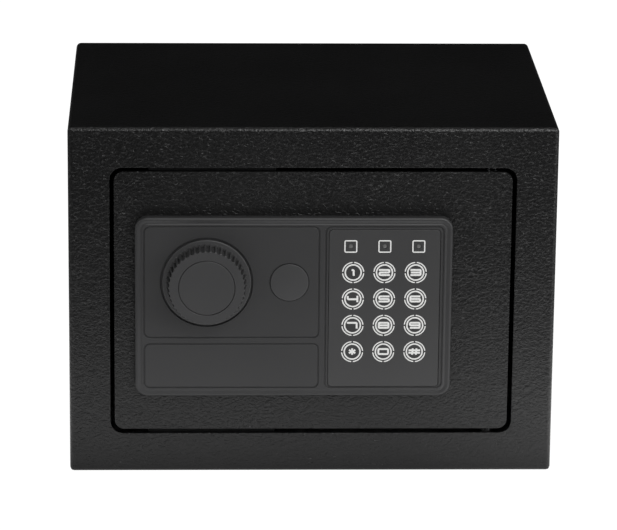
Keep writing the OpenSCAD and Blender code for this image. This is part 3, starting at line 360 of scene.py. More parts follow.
def cellFinish(name, dark, light, band, steel, bareEnd, bandEnd, blur):
    # a printed sleeve with a coloured band and a bare steel end at both sides
    f = Finish(name)
    low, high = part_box("battery_cells")
    x, y, z = f.split(f.place)
    away, half = abs(x - (low.x + high.x) / 2), (high.x - low.x) / 2
    ends = f.spread(away, half - bareEnd - blur, half - bareEnd)
    sleeve = f.blend(f.noise(60, 3.0), dark, light)
    bands = f.spread(away, half - bandEnd - blur, half - bandEnd)
    f.feed(Base_Color=f.blend(ends, f.blend(bands, sleeve, band), steel))
    f.feed(Metallic=f.spread(bands + ends, 0.0, 1.0))
    f.feed(Roughness=f.spread(f.noise(90, 3.0), 0.3, 0.7, 0.25, 0.4))
    f.bump(f.noise(200, 2.0), 0.03 * mm, 0.5)
    return f.material


def coilFinish(name, dark, light, turns, depth):
    # yellow-brown tape wound over the wire
    f = Finish(name, Coat_Weight=0.4, Coat_Roughness=0.25)
    x, y, z = f.split(f.place)
    turn = abs((z * turns + f.noise(90, 2.0) * 0.4).fraction() - 0.5) * 2.0
    f.feed(Base_Color=f.blend(turn, dark, light))
    f.feed(Roughness=f.spread(turn, 0.0, 1.0, 0.28, 0.45))
    f.bump(turn, depth, 0.8)
    return f.material


finishKinds = [
    (wrinklePaint, wrinklePaints), (smoothPaint, smoothPaints), (mouldedPlastic, plastics), (inkFinish, inks),
    (metalFinish, metals), (coilFinish, coils), (boardFinish, boards), (cellFinish, cells),
    (feltFinish, felts),
]
finishes = {name: make(name, **values) for make, kind in finishKinds for name, values in kind.items()}

# which finish each slot of the record takes
slotFinish = {
    "body_paint": "bodyPaint", "door_paint": "doorPaint", "bracket_paint": "bracketPaint",
    "tray_paint": "trayPaint", "panel_plastic": "panelPlastic", "overlay_plastic": "overlayPlastic",
    "knob_plastic": "knobPlastic", "key_plastic": "keyPlastic", "cap_plastic": "capPlastic",
    "lens_plastic": "lensPlastic", "bolt_steel": "groundSteel", "plated_steel": "zincPlate",
    "screw_steel": "brightPlate", "lock_metal": "nickelPlate", "bush_brass": "turnedBrass",
    "coil_tape": "tapedCoil", "board_green": "circuitBoard", "black_plastic": "blackPlastic",
    "cell_sleeve": "cellSleeve", "contact_metal": "nickelPlate", "button_red": "redPlastic",
    "wire_sleeve": "leadSleeve", "felt": "greyFelt",
}
slotOf = {part["node"]: part["material_slot"] for part in frame["record"]["subparts"]}
bodyOf = {node: body for body, members in frame["record"]["behaviour"]["bodies"].items() for node in members}
for node, piece in cadNodes.items():
    for place in piece.material_slots:
        place.material = finishes[slotFinish[slotOf[node]]]
print("finishes made:", len(finishes))


# mesh tools
meshing = {
    "sharp": 32.0,  # degrees above which an edge stays sharp
    "flat": 0.5,  # degrees below which CAD triangles are joined
    "same": 1e-7,  # how near points are merged
    "sameCad": 2e-6,
    "faceWeight": 90,
    "breakSteps": 2,
}


def square(x0, z0, x1, z1, radius, steps=12):
    # a rectangle with round corners, as a function of how far it is grown
    def outline(grow=0.0):
        r = max(radius + grow, 1e-6)
        left, right, low, high = x0 - grow + r, x1 + grow - r, z0 - grow + r, z1 + grow - r
        points = []
        for x, z, start in ((right, high, 0), (left, high, 90), (left, low, 180), (right, low, 270)):
            turns = [math.radians(start + 90.0 * i / steps) for i in range(steps + 1)]
            points += [(x + r * math.cos(t), z + r * math.sin(t)) for t in turns]
        return points
    return outline


def disc(x, z, radius, steps=96):
    def outline(grow=0.0):
        turns = [2 * math.pi * i / steps for i in range(steps)]
        return [(x + (radius + grow) * math.cos(t), z + (radius + grow) * math.sin(t)) for t in turns]
    return outline


def quarter(steps):
    return [math.pi / 2 * i / steps for i in range(steps + 1)]


def toWall(radius, front, turns, side=-1):
    # (growth, y) round an edge, from the face to the wall; side is 1 at the edge of a hole
    return [(side * radius * (1 - math.sin(t)), front + radius * (1 - math.cos(t))) for t in turns]


def toFace(radius, front, turns, side=-1):
    # the same the other way
    return [(side * radius * (1 - math.cos(t)), front + radius * (1 - math.sin(t))) for t in turns]


def walls(bm, loops):
    # faces between closed loops; gives back the first and the last loop
    for a, b in zip(loops, loops[1:]):
        for i in range(len(a)):
            j = (i + 1) % len(a)
            bm.faces.new((a[i], a[j], b[j], b[i]))
    return loops[0], loops[-1]


def strip(bm, outline, profile, laid=False):
    # walls through a list of (growth, y), or of (growth, z) where the outline is laid flat
    def point(x, z, y):
        return (x, z, y) if laid else (x, y, z)

    return walls(bm, [[bm.verts.new(point(x, z, y)) for x, z in outline(grow)] for grow, y in profile])


def cap(bm, *loops):
    # a flat face between the loops
    edges = []
    for loop in loops:
        for a, b in zip(loop, loop[1:] + loop[:1]):
            edges.append(bm.edges.get((a, b)) or bm.edges.new((a, b)))
    bmesh.ops.triangle_fill(bm, use_beauty=True, use_dissolve=False, edges=edges)


def meshFrom(name, bm, weld=False, turned=False):
    if weld:
        bmesh.ops.remove_doubles(bm, verts=bm.verts, dist=meshing["same"])
    if turned:
        bmesh.ops.recalc_face_normals(bm, faces=bm.faces)
    mesh = bpy.data.meshes.new(name)
    bm.to_mesh(mesh)
    bm.free()
    return mesh


def bake(piece):
    # modifiers applied, so that a plain mesh is left
    bpy.context.view_layer.update()
    depsgraph = bpy.context.evaluated_depsgraph_get()
    mesh = bpy.data.meshes.new_from_object(
        piece.evaluated_get(depsgraph), preserve_all_data_layers=True, depsgraph=depsgraph
    )
    piece.modifiers.clear()
    piece.data = mesh
    mesh.name = piece.name


def placePiece(name, mesh, finish, body, nodes=(), sharp=meshing["sharp"]):
    # a finished piece at the origin, with flat faces kept flat beside the roundings
    for polygon in mesh.polygons:
        polygon.use_smooth = True
    mesh.set_sharp_from_angle(angle=math.radians(sharp))
    for one in finish if isinstance(finish, list) else [finish]:
        mesh.materials.append(finishes[one])
    piece = inScene(name, mesh)
    weighted = piece.modifiers.new("weighted", "WEIGHTED_NORMAL")
    weighted.keep_sharp = True
    weighted.weight = meshing["faceWeight"]
    bake(piece)
    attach(piece, body)
    if nodes:
        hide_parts(*nodes)
    return piece


def pieceFrom(name, bm, finish, body, nodes=(), weld=True):
    return placePiece(name, meshFrom(name, bm, weld, turned=True), finish, body, nodes)


def softened(node, width):
    # a merged copy of a CAD piece whose sharp edges are broken
    bm = bmesh.new()
    bm.from_mesh(cadNodes[node].data)
    bmesh.ops.remove_doubles(bm, verts=bm.verts, dist=meshing["sameCad"])
    bmesh.ops.dissolve_limit(bm, angle_limit=math.radians(meshing["flat"]), verts=bm.verts, edges=bm.edges)
    mesh = meshFrom(node + "_dressed", bm)
    piece = inScene(mesh.name, mesh)
    edge = piece.modifiers.new("edge", "BEVEL")
    edge.width, edge.segments = width, meshing["breakSteps"]
    edge.limit_method, edge.angle_limit = "ANGLE", math.radians(meshing["sharp"])
    edge.use_clamp_overlap = True
    bake(piece)
    mesh = piece.data
    bpy.data.objects.remove(piece)
    mesh.materials.clear()
    for polygon in mesh.polygons:
        polygon.material_index = 0
    slot = slotOf[node]
    return placePiece(mesh.name, mesh, slotFinish[slot], bodyOf[node], [node])


def growTree(name, inputs):
    # a Geometry Nodes tree with named inputs
    tree = bpy.data.node_groups.new(name, "GeometryNodeTree")
    for label, kind in {"Geometry": "Geometry", **inputs}.items():
        tree.interface.new_socket(name=label, in_out="INPUT", socket_type="NodeSocket" + kind)
    tree.interface.new_socket(name="Geometry", in_out="OUTPUT", socket_type="NodeSocketGeometry")
    graph = Graph(tree)
    labels = ("Geometry", *inputs)
    graph.given = dict(zip(labels, graph.add("NodeGroupInput", output=labels)))
    return graph


def endTree(graph, geometry):
    # every tree ends in real geometry that carries its material
    real = graph.add("GeometryNodeRealizeInstances", Geometry=geometry)
    dressed = graph.add("GeometryNodeSetMaterial", Geometry=real, Material=graph.given["Finish"])
    graph.add("NodeGroupOutput", Geometry=dressed)
    return graph.tree


def grown(name, tree, mesh, values, body, nodes=(), sharp=meshing["sharp"]):
    # runs a tree on a mesh and keeps the result as a plain piece
    carrier = inScene(name + "Carrier", mesh)
    modifier = carrier.modifiers.new("grow", "NODES")
    modifier.node_group = tree
    sockets = {s.name: s.identifier for s in tree.interface.items_tree if s.in_out == "INPUT"}
    for label, value in values.items():
        modifier[sockets[label]] = value
    bake(carrier)
    mesh = carrier.data
    bpy.data.objects.remove(carrier)
    mesh.materials.clear()
    mesh.name = name
    return placePiece(name, mesh, values["Finish"].name, body, nodes, sharp)


def pointMesh(name, points):
    mesh = bpy.data.meshes.new(name)
    mesh.from_pydata(points, [], [])
    return mesh


# sheet and turned pieces, each with its edges broken by so many mm
edgeBreaks = {
    "body_shell": 0.5, "back_panel": 0.3, "hinge_bracket_upper": 0.35, "hinge_bracket_lower": 0.35,
    "door_stops": 0.3, "door_plate": 0.7, "door_pan": 0.3, "inner_cover": 0.45, "hinge_arm_upper": 0.35,
    "hinge_arm_lower": 0.35, "hinge_pin_upper": 0.2, "hinge_pin_lower": 0.2, "battery_cover": 0.3,
    "battery_holder": 0.25, "reset_button": 0.25, "bolt_upper": 0.3, "bolt_lower": 0.3, "cover_screws": 0.15,
    "bolt_carriage": 0.2, "guide_studs": 0.2, "crank": 0.25, "spindle_bush": 0.2, "lock_housing": 0.3,
    "lock_cam": 0.2, "solenoid_frame": 0.2,
}
hingeRelief = {"side": (92.3 * mm, 94.7 * mm), "front": -83.9 * mm, "room": 0.16 * mm}


def easeHingeSide(piece, s):
    # the hinge side of the opening gives way a little for the fully open door
    low, high = s["side"]
    for v in piece.data.vertices:
        if low < v.co.x < high and v.co.y < s["front"]:
            v.co.x += s["room"]


dressed = {node: softened(node, width * mm) for node, width in edgeBreaks.items()}
easeHingeSide(dressed["body_shell"], hingeRelief)
print("sheet and turned pieces dressed:", len(edgeBreaks))


# control panel
panelLow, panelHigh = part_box("control_panel")
panelSizes = {
    "corner": 6.0 * mm,
    "edgeRound": 1.1 * mm,
    # the sunk rim, in mm from the edge inwards and from the front
    "rim": [(1.3, 0.01), (1.55, 0.05), (2.45, 0.38), (2.7, 0.42), (3.1, 0.3), (3.4, 0.12), (3.5, 0.1)],
    "fieldMargin": 4.0 * mm,
    "fieldCorner": 3.0 * mm,
    "grooveWidth": 0.7 * mm,
    "grooveDepth": 0.55 * mm,
    "grooveLip": 0.22 * mm,
    "fieldRib": 2.5 * mm,
    "plainHeight": 22.4 * mm,
    "padWidth": 56.0 * mm,
    "padGap": 0.25 * mm,
    "padCorner": 1.8 * mm,
    "padLip": 1.0 * mm,  # behind the edge of the window, where it is hidden
    "landFoot": 0.9 * mm,
    "landSink": 0.05 * mm,
    "knobSeat": (21.8 * mm, 1.2 * mm, 4.6 * mm),  # radius, depth and the hole's radius
    "capSeat": (9.22 * mm, 0.7 * mm, 8.1 * mm),
}


def middle(low, high):
    return (low.x + high.x) / 2, (low.z + high.z) / 2


knobLow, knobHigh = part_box("knob")
capLow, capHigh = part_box("keyhole_cap")
knobCentre, capCentre = middle(knobLow, knobHigh), middle(capLow, capHigh)
padLow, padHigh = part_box("keypad_overlay")
padLip = Vector((panelSizes["padLip"], 0, panelSizes["padLip"]))
padLow, padHigh = padLow + padLip, padHigh - padLip
padOutline = square(padLow.x, padLow.z, padHigh.x, padHigh.z, panelSizes["padCorner"])


def panelFields(s):
    x0, x1 = panelLow.x + s["fieldMargin"], panelHigh.x - s["fieldMargin"]
    z0, z1 = panelLow.z + s["fieldMargin"], panelHigh.z - s["fieldMargin"]
    padX = x1 - s["padWidth"]
    leftX = padX - s["fieldRib"]
    return {
        "knob": square(x0, z0 + s["plainHeight"] + s["fieldRib"], leftX, z1, s["fieldCorner"]),
        "plain": square(x0, z0, leftX, z0 + s["plainHeight"], s["fieldCorner"]),
        "pad": square(padX, z0, x1, z1, s["fieldCorner"]),
    }


def makeLand(bm, s, level):
    # the land that stands between the keypad's two lines, open at its foot
    g = s["grooveLip"]
    outer, inner = panelFields(s)["pad"](-s["grooveWidth"]), padOutline(s["padGap"])
    half = len(outer) // 2
    foot = padLow.z + s["landFoot"]
    sides = [[(loop[0][0], foot)] + loop[:half] + [(loop[half - 1][0], foot)] for loop in (outer, inner)]
    rows = []
    for a, b in zip(*sides):
        a, b = Vector(a), Vector(b)
        across = [(0.0, level + s["grooveDepth"] + s["landSink"])]
        across += [(u / (b - a).length, y) for u, y in toFace(g, level, quarter(4), side=1)]
        across += [(1.0 - u, y) for u, y in reversed(across)]
        rows.append([bm.verts.new((a.lerp(b, u).x, y, a.lerp(b, u).y)) for u, y in across])
    walls(bm, rows)
    bm.faces.new(rows[0])
    bm.faces.new(rows[-1])


def makePanel(s):
    bm = bmesh.new()
    front, back = panelLow.y, panelHigh.y
    rim = [(-inwards * mm, front + deep * mm) for inwards, deep in s["rim"]]
    level = rim[-1][1]
    edge = square(panelLow.x, panelLow.z, panelHigh.x, panelHigh.z, s["corner"], 16)
    outerBack, outerFront = strip(bm, edge, [(0.0, back)] + toFace(s["edgeRound"], front, quarter(6)) + rim)
    g, w, floor = s["grooveLip"], s["grooveWidth"], level + s["grooveDepth"]
    lipIn = toWall(g, level, quarter(4), side=1)
    lipOut = [(grow - w, y) for grow, y in toFace(g, level, quarter(4))]
    firsts, lasts = [outerFront], {}
    for name, outline in panelFields(s).items():
        groove = [(0.0, floor)] if name == "pad" else [(0.0, floor), (-w, floor)] + lipOut
        first, lasts[name] = strip(bm, outline, lipIn + groove)
        firsts.append(first)
    cap(bm, *firsts)
    cap(bm, lasts["plain"])
    # seats of the knob and the keyhole cap
    tops, backs = [], []
    seats = ((knobCentre, s["knobSeat"], 128), (capCentre, s["capSeat"], 96))
    for centre, (radius, depth, hole), steps in seats:
        top, floorEdge = strip(bm, disc(*centre, radius, steps), lipIn + [(0.0, front + depth)])
        holeTop, holeBack = strip(bm, disc(*centre, hole), [(0.0, front + depth), (0.0, back)])
        cap(bm, floorEdge, holeTop)
        tops.append(top)
        backs.append(holeBack)
    cap(bm, lasts["knob"], *tops)
    # the keypad's window
    top, windowBack = strip(bm, padOutline, [(s["padGap"], floor), (s["padGap"], back)])
    cap(bm, lasts["pad"], top)
    cap(bm, outerBack, windowBack, *backs)
    makeLand(bm, s, level)
    pieceFrom("controlPanel", bm, "panelPlastic", "door", ["control_panel"])


makePanel(panelSizes)
print("control panel made")


# keypad
keypadSizes = {
    "keyRadius": 4.4 * mm,
    "keyGap": 0.25 * mm,
    "keyEdge": 0.35 * mm,
    "keyDish": 0.1 * mm,  # the face is slightly hollow
    "keyEye": 0.25 * mm,  # radius of the flat middle
    "footWidth": 0.6 * mm,
    "footDepth": 0.35 * mm,
    "keySteps": 72,
    "innerRing": (3.4 * mm, 4.2 * mm),
    "outerRing": 5.22 * mm,
    "outerStroke": 0.56 * mm,
    "ringGap": math.radians(9.0),
    "inkHeight": 0.03 * mm,
    "ringLift": 0.015 * mm,
    "signLift": 0.012 * mm,
    "strokeLift": 0.008 * mm,  # strokes that cross lie a hair above each other
    "overlayEdge": 0.22 * mm,
    "overlayFoot": 0.4 * mm,
    "holeEdge": 0.15 * mm,
    "lampGap": 0.12 * mm,
    "lampFrame": 6.1 * mm,
    "lampFrameCorner": 0.8 * mm,
    "lampStroke": 0.56 * mm,
    "lampRadius": 1.05 * mm,
    "lampDome": 0.25 * mm,
    "lampWall": 0.35 * mm,
}
keyNames = ("1", "2", "3", "4", "5", "6", "7", "8", "9", "star", "0", "hash")
# pen strokes of each sign, in mm from the key's centre
signSizes = {"stroke": 0.92, "corner": 0.5}
signs = {
    "1": [[(-0.75, 1.2), (0.25, 1.2), (0.25, -1.6)]],
    "2": [[(-2.6, 1.25), (2.3, 1.25), (2.3, 0.0), (-2.3, 0.0), (-2.3, -1.25), (2.6, -1.25)]],
    "3": [[(-2.5, 1.25), (2.3, 1.25), (2.3, -1.25), (-2.5, -1.25)], [(-2.3, 0.0), (2.2, 0.0)]],
    "4": [[(-2.4, 1.45), (-2.4, -0.15), (2.3, -0.15)], [(2.15, 1.6), (2.15, -1.6)]],
    "5": [[(2.6, 1.25), (-2.3, 1.25), (-2.3, 0.0), (2.3, 0.0), (2.3, -1.25), (-2.6, -1.25)]],
    "6": [[(2.4, 1.25), (-2.3, 1.25), (-2.3, -1.25), (2.3, -1.25), (2.3, 0.0), (-1.84, 0.0)]],
    "7": [[(-2.6, 1.25), (2.0, 1.25), (2.0, -1.6)]],
    "8": [[(-2.3, 0.0), (-2.3, 1.25), (2.3, 1.25), (2.3, -1.25), (-2.3, -1.25), (-2.3, 0.0)],
          [(-1.84, 0.0), (1.84, 0.0)]],
    "9": [[(-2.3, -1.25), (2.3, -1.25), (2.3, 1.25), (-2.3, 1.25), (-2.3, 0.0), (1.84, 0.0)]],
    "star": [[(1.75 * math.cos(a), 1.6 * math.sin(a)), (-1.75 * math.cos(a), -1.6 * math.sin(a))]
             for a in (math.pi / 2, math.pi / 6, -math.pi / 6)],
    "0": [[(-2.3, 0.0), (-2.3, 1.25), (2.3, 1.25), (2.3, -1.25), (-2.3, -1.25), (-2.3, 0.0)]],
    "hash": [[(-2.75, 0.62), (2.75, 0.62)], [(-2.75, -0.62), (2.75, -0.62)],
             [(-0.75, 1.6), (-1.05, -1.6)], [(1.05, 1.6), (0.75, -1.6)]],
}


def roundedPath(points, radius):
    # the same pen stroke with its corners turned in a small arc
    path = [points[0]]
    for before, corner, after in zip(points, points[1:], points[2:]):
        c = Vector(corner)
        a, b = (Vector(before) - c).normalized(), (Vector(after) - c).normalized()
        for t in quarter(4):
            p = c + (a + b - b * math.cos(t) - a * math.sin(t)) * radius
            path.append((p.x, p.y))
    return path + [points[-1]]


def inkLine(bm, centre, front, back, points):
    # a flat ribbon that follows a pen stroke
    pts = [Vector(p) for p in roundedPath(points, signSizes["corner"])]
    rows = []
    for i, p in enumerate(pts):
        ahead = (pts[min(i + 1, len(pts) - 1)] - p).normalized()
        behind = (p - pts[max(i - 1, 0)]).normalized()
        run = (ahead + behind).normalized()
        side = Vector((-run.y, run.x)) * signSizes["stroke"] / 2
        if 0 < i < len(pts) - 1:
            side /= max(0.5, run.dot(ahead))
        rows.append([bm.verts.new((centre[0] + q.x * mm, y, centre[1] + q.y * mm))
                     for q in (p + side, p - side) for y in (front, back)])
    faces = [bm.faces.new((a[i], a[j], b[j], b[i])) for a, b in zip(rows, rows[1:])
             for i, j in ((0, 2), (2, 3), (3, 1), (1, 0))]
    faces += [bm.faces.new((row[0], row[2], row[3], row[1])) for row in (rows[0], rows[-1])]
    for face in faces:
        face.material_index = 1


def makeKey(name, s):
    low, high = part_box("key_" + name)
    centre = middle(low, high)
    front, back = low.y, high.y
    r, dish = s["keyRadius"], s["keyDish"]
    seat, foot = back - s["footDepth"], s["footWidth"]
    bm = bmesh.new()
    profile = [(-r + s["keyEye"], front + dish)]
    profile += [(-r + r * k, front + dish * (1 - k ** 2)) for k in (0.3, 0.6)]
    profile += toWall(s["keyEdge"], front, quarter(5)) + [(0.0, seat), (foot, seat), (foot, back)]
    for loop in strip(bm, disc(*centre, r, s["keySteps"]), profile):
        cap(bm, loop)

    def inkY(radius):
        return front + dish * (1 - min(1.0, radius / (r * 0.9)) ** 2) - s["ringLift"]

    a, b = s["innerRing"]
    ring = [(a, inkY(a) + 0.05 * mm), (a, inkY(a)), (b - 0.3 * mm, inkY(b)),
            (b - 0.12 * mm, front - 0.003 * mm), (b, front + 0.05 * mm), (b, front + 0.1 * mm)]
    before = set(bm.faces)
    strip(bm, disc(*centre, 0.0, s["keySteps"]), ring + [ring[0]])
    for face in set(bm.faces) - before:
        face.material_index = 1
    for step, points in enumerate(signs[name]):
        top = front + dish * 0.35 - s["signLift"] - s["strokeLift"] * step
        inkLine(bm, centre, top, top + s["inkHeight"] + dish, points)
    pieceFrom(
        "key_" + name + "_cap", bm, ["keyPlastic", "keyInk"], "keycap_" + name,
        ["key_" + name], weld=False
    )
    return centre


def makeOverlay(s, keyCentres, lampCentres):
    bm = bmesh.new()
    front, back = padLow.y, padHigh.y
    seat, lip = back - s["overlayFoot"], panelSizes["padLip"]
    profile = toWall(s["overlayEdge"], front, quarter(4)) + [(0.0, seat), (lip, seat), (lip, back)]
    loops = [strip(bm, padOutline, profile)]
    hole = toWall(s["holeEdge"], front, quarter(3), side=1) + [(0.0, back)]
    holes = [(centre, s["keyRadius"] + s["keyGap"], 64) for centre in keyCentres]
    holes += [(centre, s["lampRadius"] + s["lampGap"], 32) for centre in lampCentres]
    for centre, radius, steps in holes:
        loops.append(strip(bm, disc(*centre, radius, steps), hole))
    tops, bottoms = zip(*loops)
    cap(bm, *tops)
    cap(bm, *bottoms)
    pieceFrom("keypadFace", bm, "overlayPlastic", "door", ["keypad_overlay"])


def arcTree():
    # four arcs round each point: a bar bent to a quarter circle, less a gap
    g = growTree("keyRings", {
        "Radius": "Float", "Stroke": "Float", "Height": "Float", "Gap": "Float", "Finish": "Material"})
    i = g.given
    bar = g.add("GeometryNodeMeshCube", Size=(1.0, 1.0, 1.0), Vertices_X=19)
    x, y, z = g.split(g.add("GeometryNodeInputPosition"))
    angle = i["Gap"] * 0.5 + (0.5 - x) * (math.pi / 2 - i["Gap"])
    radius = i["Radius"] - (0.5 - z) * i["Stroke"]
    bent = g.join(radius * angle.maths("COSINE", angle), y * i["Height"], radius * angle.maths("SINE", angle))
    arc = g.add("GeometryNodeSetPosition", Geometry=bar, Position=bent)
    quarters = g.add("GeometryNodePoints", Count=4)
    turn = g.join(0.0, g.add("GeometryNodeInputIndex") * (math.pi / 2), 0.0)
    ring = g.add("GeometryNodeInstanceOnPoints", Points=quarters, Instance=arc, Rotation=turn)
    return endTree(g, g.add("GeometryNodeInstanceOnPoints", Points=i["Geometry"], Instance=ring))


def copyTree():
    # one piece copied onto points
    g = growTree("copiesOnPoints", {"Piece": "Object", "Finish": "Material"})
    one = g.add("GeometryNodeObjectInfo", {"transform_space": "ORIGINAL"}, output="Geometry",
                Object=g.given["Piece"])
    return endTree(g, g.add("GeometryNodeInstanceOnPoints", Points=g.given["Geometry"], Instance=one))


def lampFrame(s):
    # one printed frame round the origin
    bm = bmesh.new()
    half, t, w = s["lampFrame"] / 2, s["inkHeight"], s["lampStroke"]
    outline = square(-half, -half, half, half, s["lampFrameCorner"], 6)
    strip(bm, outline, [(0.0, t / 2), (0.0, -t / 2), (-w, -t / 2), (-w, t / 2), (0.0, t / 2)])
    return inScene("lampFrameOne", meshFrom("lampFrameOne", bm, weld=True, turned=True))


def makeLamps(s, centres):
    bm = bmesh.new()
    r, front = s["lampRadius"], lampLow.y
    dome = [(-r + r * k, front + s["lampDome"] * k * k) for k in (0.06, 0.35, 0.65, 0.9)]
    for centre in centres:
        for loop in strip(bm, disc(*centre, r, 32), dome + [(0.0, front + s["lampWall"]), (0.0, lampHigh.y)]):
            cap(bm, loop)
    pieceFrom("lampLenses", bm, "lensPlastic", "door", ["led_lenses"])


def makePrint(s, keyCentres, lampCentres):
    # the rings round the keys and the frames round the lamps
    front = padLow.y - s["inkHeight"] * 0.3
    grown(
        "keyRings", arcTree(), pointMesh("keyRingPoints", [(x, front, z) for x, z in keyCentres]),
        {"Radius": s["outerRing"], "Stroke": s["outerStroke"], "Height": s["inkHeight"], "Gap": s["ringGap"],
         "Finish": finishes["keyInk"]},
        "door"
    )
    one = lampFrame(s)
    grown(
        "lampFrames", copyTree(), pointMesh("lampPoints", [(x, front, z) for x, z in lampCentres]),
        {"Piece": one, "Finish": finishes["keyInk"]}, "door"
    )
    bpy.data.objects.remove(one)


lampLow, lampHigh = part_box("led_lenses")
lampX, lampZ = middle(lampLow, lampHigh)
lampRadius = keypadSizes["lampRadius"]
lampCentres = [(x, lampZ) for x in (lampLow.x + lampRadius, lampX, lampHigh.x - lampRadius)]
keyCentres = [makeKey(name, keypadSizes) for name in keyNames]
makeOverlay(keypadSizes, keyCentres, lampCentres)
makePrint(keypadSizes, keyCentres, lampCentres)
makeLamps(keypadSizes, lampCentres)
print("keypad made:", len(keyNames), "keys and", len(lampCentres), "lamps")


# knob
knobSizes = {
    "bore": 4.2 * mm,
    "skirtRadius": 20.9 * mm,
    "gripRadius": 19.0 * mm,
    "faceRadius": 18.0 * mm,
    "skirtFront": 1.7 * mm,  # in front of the knob's back
    "height": 10.4 * mm,
    "footRound": 0.35 * mm,
    "skirtRound": 0.5 * mm,
    "gripFillet": [(0.35, 0.0), (0.1, 0.06), (0.0, 0.25)],  # mm out from the grip and up from the skirt
    "gripLevels": (0.45, 0.9, 2.2, 3.6, 5.0, 6.4, 7.6),  # mm up from the skirt
    "faceRound": 0.45 * mm,
    "faceRings": (0.8, 1.15, 1.6),  # mm in from the face's edge
    "recessDepth": 0.8 * mm,
    "recessGap": 0.3 * mm,
    "recessRound": 0.22 * mm,
    "discRadius": 13.1 * mm,
    "discRound": 0.3 * mm,
    "discSink": 0.08 * mm,
    "discBack": 1.1 * mm,
    "ribs": 45,
    "stepsPerRib": 12,
    "slotDepth": 1.4 * mm,  # at the foot of the grip
    "slotEnd": 0.5 * mm,  # at the face
    "slotShare": 0.53,
    "slotFoot": 0.2 * mm,  # up from the skirt
    "sharp": 40.0,
}


def ribTree():
    # slots pressed into the revolved grip
    sizes = ("Centre X", "Centre Z", "Ribs", "Slot Depth", "Slot End", "Slot Share", "Base Radius",
             "Front Radius", "Base Y", "Front Y")
    g = growTree("knobRibs", {**{label: "Float" for label in sizes}, "Finish": "Material"})
    i = g.given
    x, y, z = g.split(g.add("GeometryNodeInputPosition"))
    dx, dz = x - i["Centre X"], z - i["Centre Z"]
    reach = (dx * dx + dz * dz) ** 0.5 + 1e-9
    around = dx.maths("ARCTAN2", dz, dx) * i["Ribs"] / (2 * math.pi) + 100.5
    phase = abs(around.fraction() - 0.5) * 2.0  # 0 in the middle of a slot
    inSlot = i["Slot Share"].over(phase + 0.001)
    along = ((i["Base Y"] - y) / (i["Base Y"] - i["Front Y"])).clamped()
    footFloor, endFloor = i["Base Radius"] - i["Slot Depth"], i["Front Radius"] - i["Slot End"]
    floorRadius = footFloor + (endFloor - footFloor) * along
    excess = reach.maths("MAXIMUM", reach - floorRadius, 0.0)
    onGrip = (i["Base Y"] - y).over(0.0)
    scale = (reach - excess * inSlot * onGrip) / reach
    moved = g.join(i["Centre X"] + dx * scale, y, i["Centre Z"] + dz * scale)
    return endTree(g, g.add("GeometryNodeSetPosition", Geometry=i["Geometry"], Position=moved))


def gripProfile(s, back):
    # (radius, y) from the bore's back, round the skirt and the grip, to the recess for the disc
    skirtFace, front = back - s["skirtFront"], back - s["height"]
    skirt, grip, face = s["skirtRadius"], s["gripRadius"], s["faceRadius"]
    lean = (face - grip) / (s["height"] - s["skirtFront"])
    recess, recessFloor = s["discRadius"] + s["recessGap"], front + s["recessDepth"]
    coarse = (0.0, 0.5, 1.0, math.pi / 2)
    profile = [(s["bore"], back)]
    profile += [(skirt + grow, -y) for grow, y in toWall(s["footRound"], -back, coarse)]
    skirtTurns = (0.0, 0.4, 0.8, 1.2, math.pi / 2)
    profile += [(skirt + grow, y) for grow, y in toFace(s["skirtRound"], skirtFace, skirtTurns)]
    profile += [(grip + out * mm, skirtFace - up * mm) for out, up in s["gripFillet"]]
    profile += [(grip + lean * up * mm, skirtFace - up * mm) for up in s["gripLevels"]]
    profile += [(face + grow, y) for grow, y in toFace(s["faceRound"], front, quarter(5))]
    profile += [(face - inwards * mm, front) for inwards in s["faceRings"]]
    profile += [(recess + grow, y) for grow, y in toWall(s["recessRound"], front, coarse, side=1)]
    return profile + [(recess, recessFloor), (s["bore"], recessFloor)]


def makeKnob(s):
    back = knobHigh.y
    front = back - s["height"]
    bm = bmesh.new()
    profile = gripProfile(s, back)
    strip(bm, disc(*knobCentre, 0.0, s["ribs"] * s["stepsPerRib"]), profile + [profile[0]])
    grown("knobGrip", ribTree(), meshFrom("knobBlank", bm, weld=True, turned=True), {
        "Centre X": knobCentre[0], "Centre Z": knobCentre[1], "Ribs": float(s["ribs"]),
        "Slot Depth": s["slotDepth"], "Slot End": s["slotEnd"], "Slot Share": s["slotShare"],
        "Base Radius": s["gripRadius"], "Front Radius": s["faceRadius"],
        "Base Y": back - s["skirtFront"] - s["slotFoot"], "Front Y": front, "Finish": finishes["knobPlastic"],
    }, "turn_knob", ["knob"], s["sharp"])
    # the disc in the face
    bm = bmesh.new()
    profile = toWall(s["discRound"], front + s["discSink"], quarter(5)) + [(0.0, front + s["discBack"])]
    for loop in strip(bm, disc(*knobCentre, s["discRadius"], 128), profile):
        cap(bm, loop)
    pieceFrom("knobDisc", bm, "knobPlastic", "turn_knob", ["knob_disc"])


makeKnob(knobSizes)


# keyhole cap
capSizes = {
    "radius": 9.0 * mm,
    "rimRound": 0.3 * mm,
    "rimRise": 0.05 * mm,
    "rimDepth": 0.8 * mm,
    "dome": 0.4 * mm,
    "plugRadius": 8.0 * mm,
    "plugWall": 1.5 * mm,
}


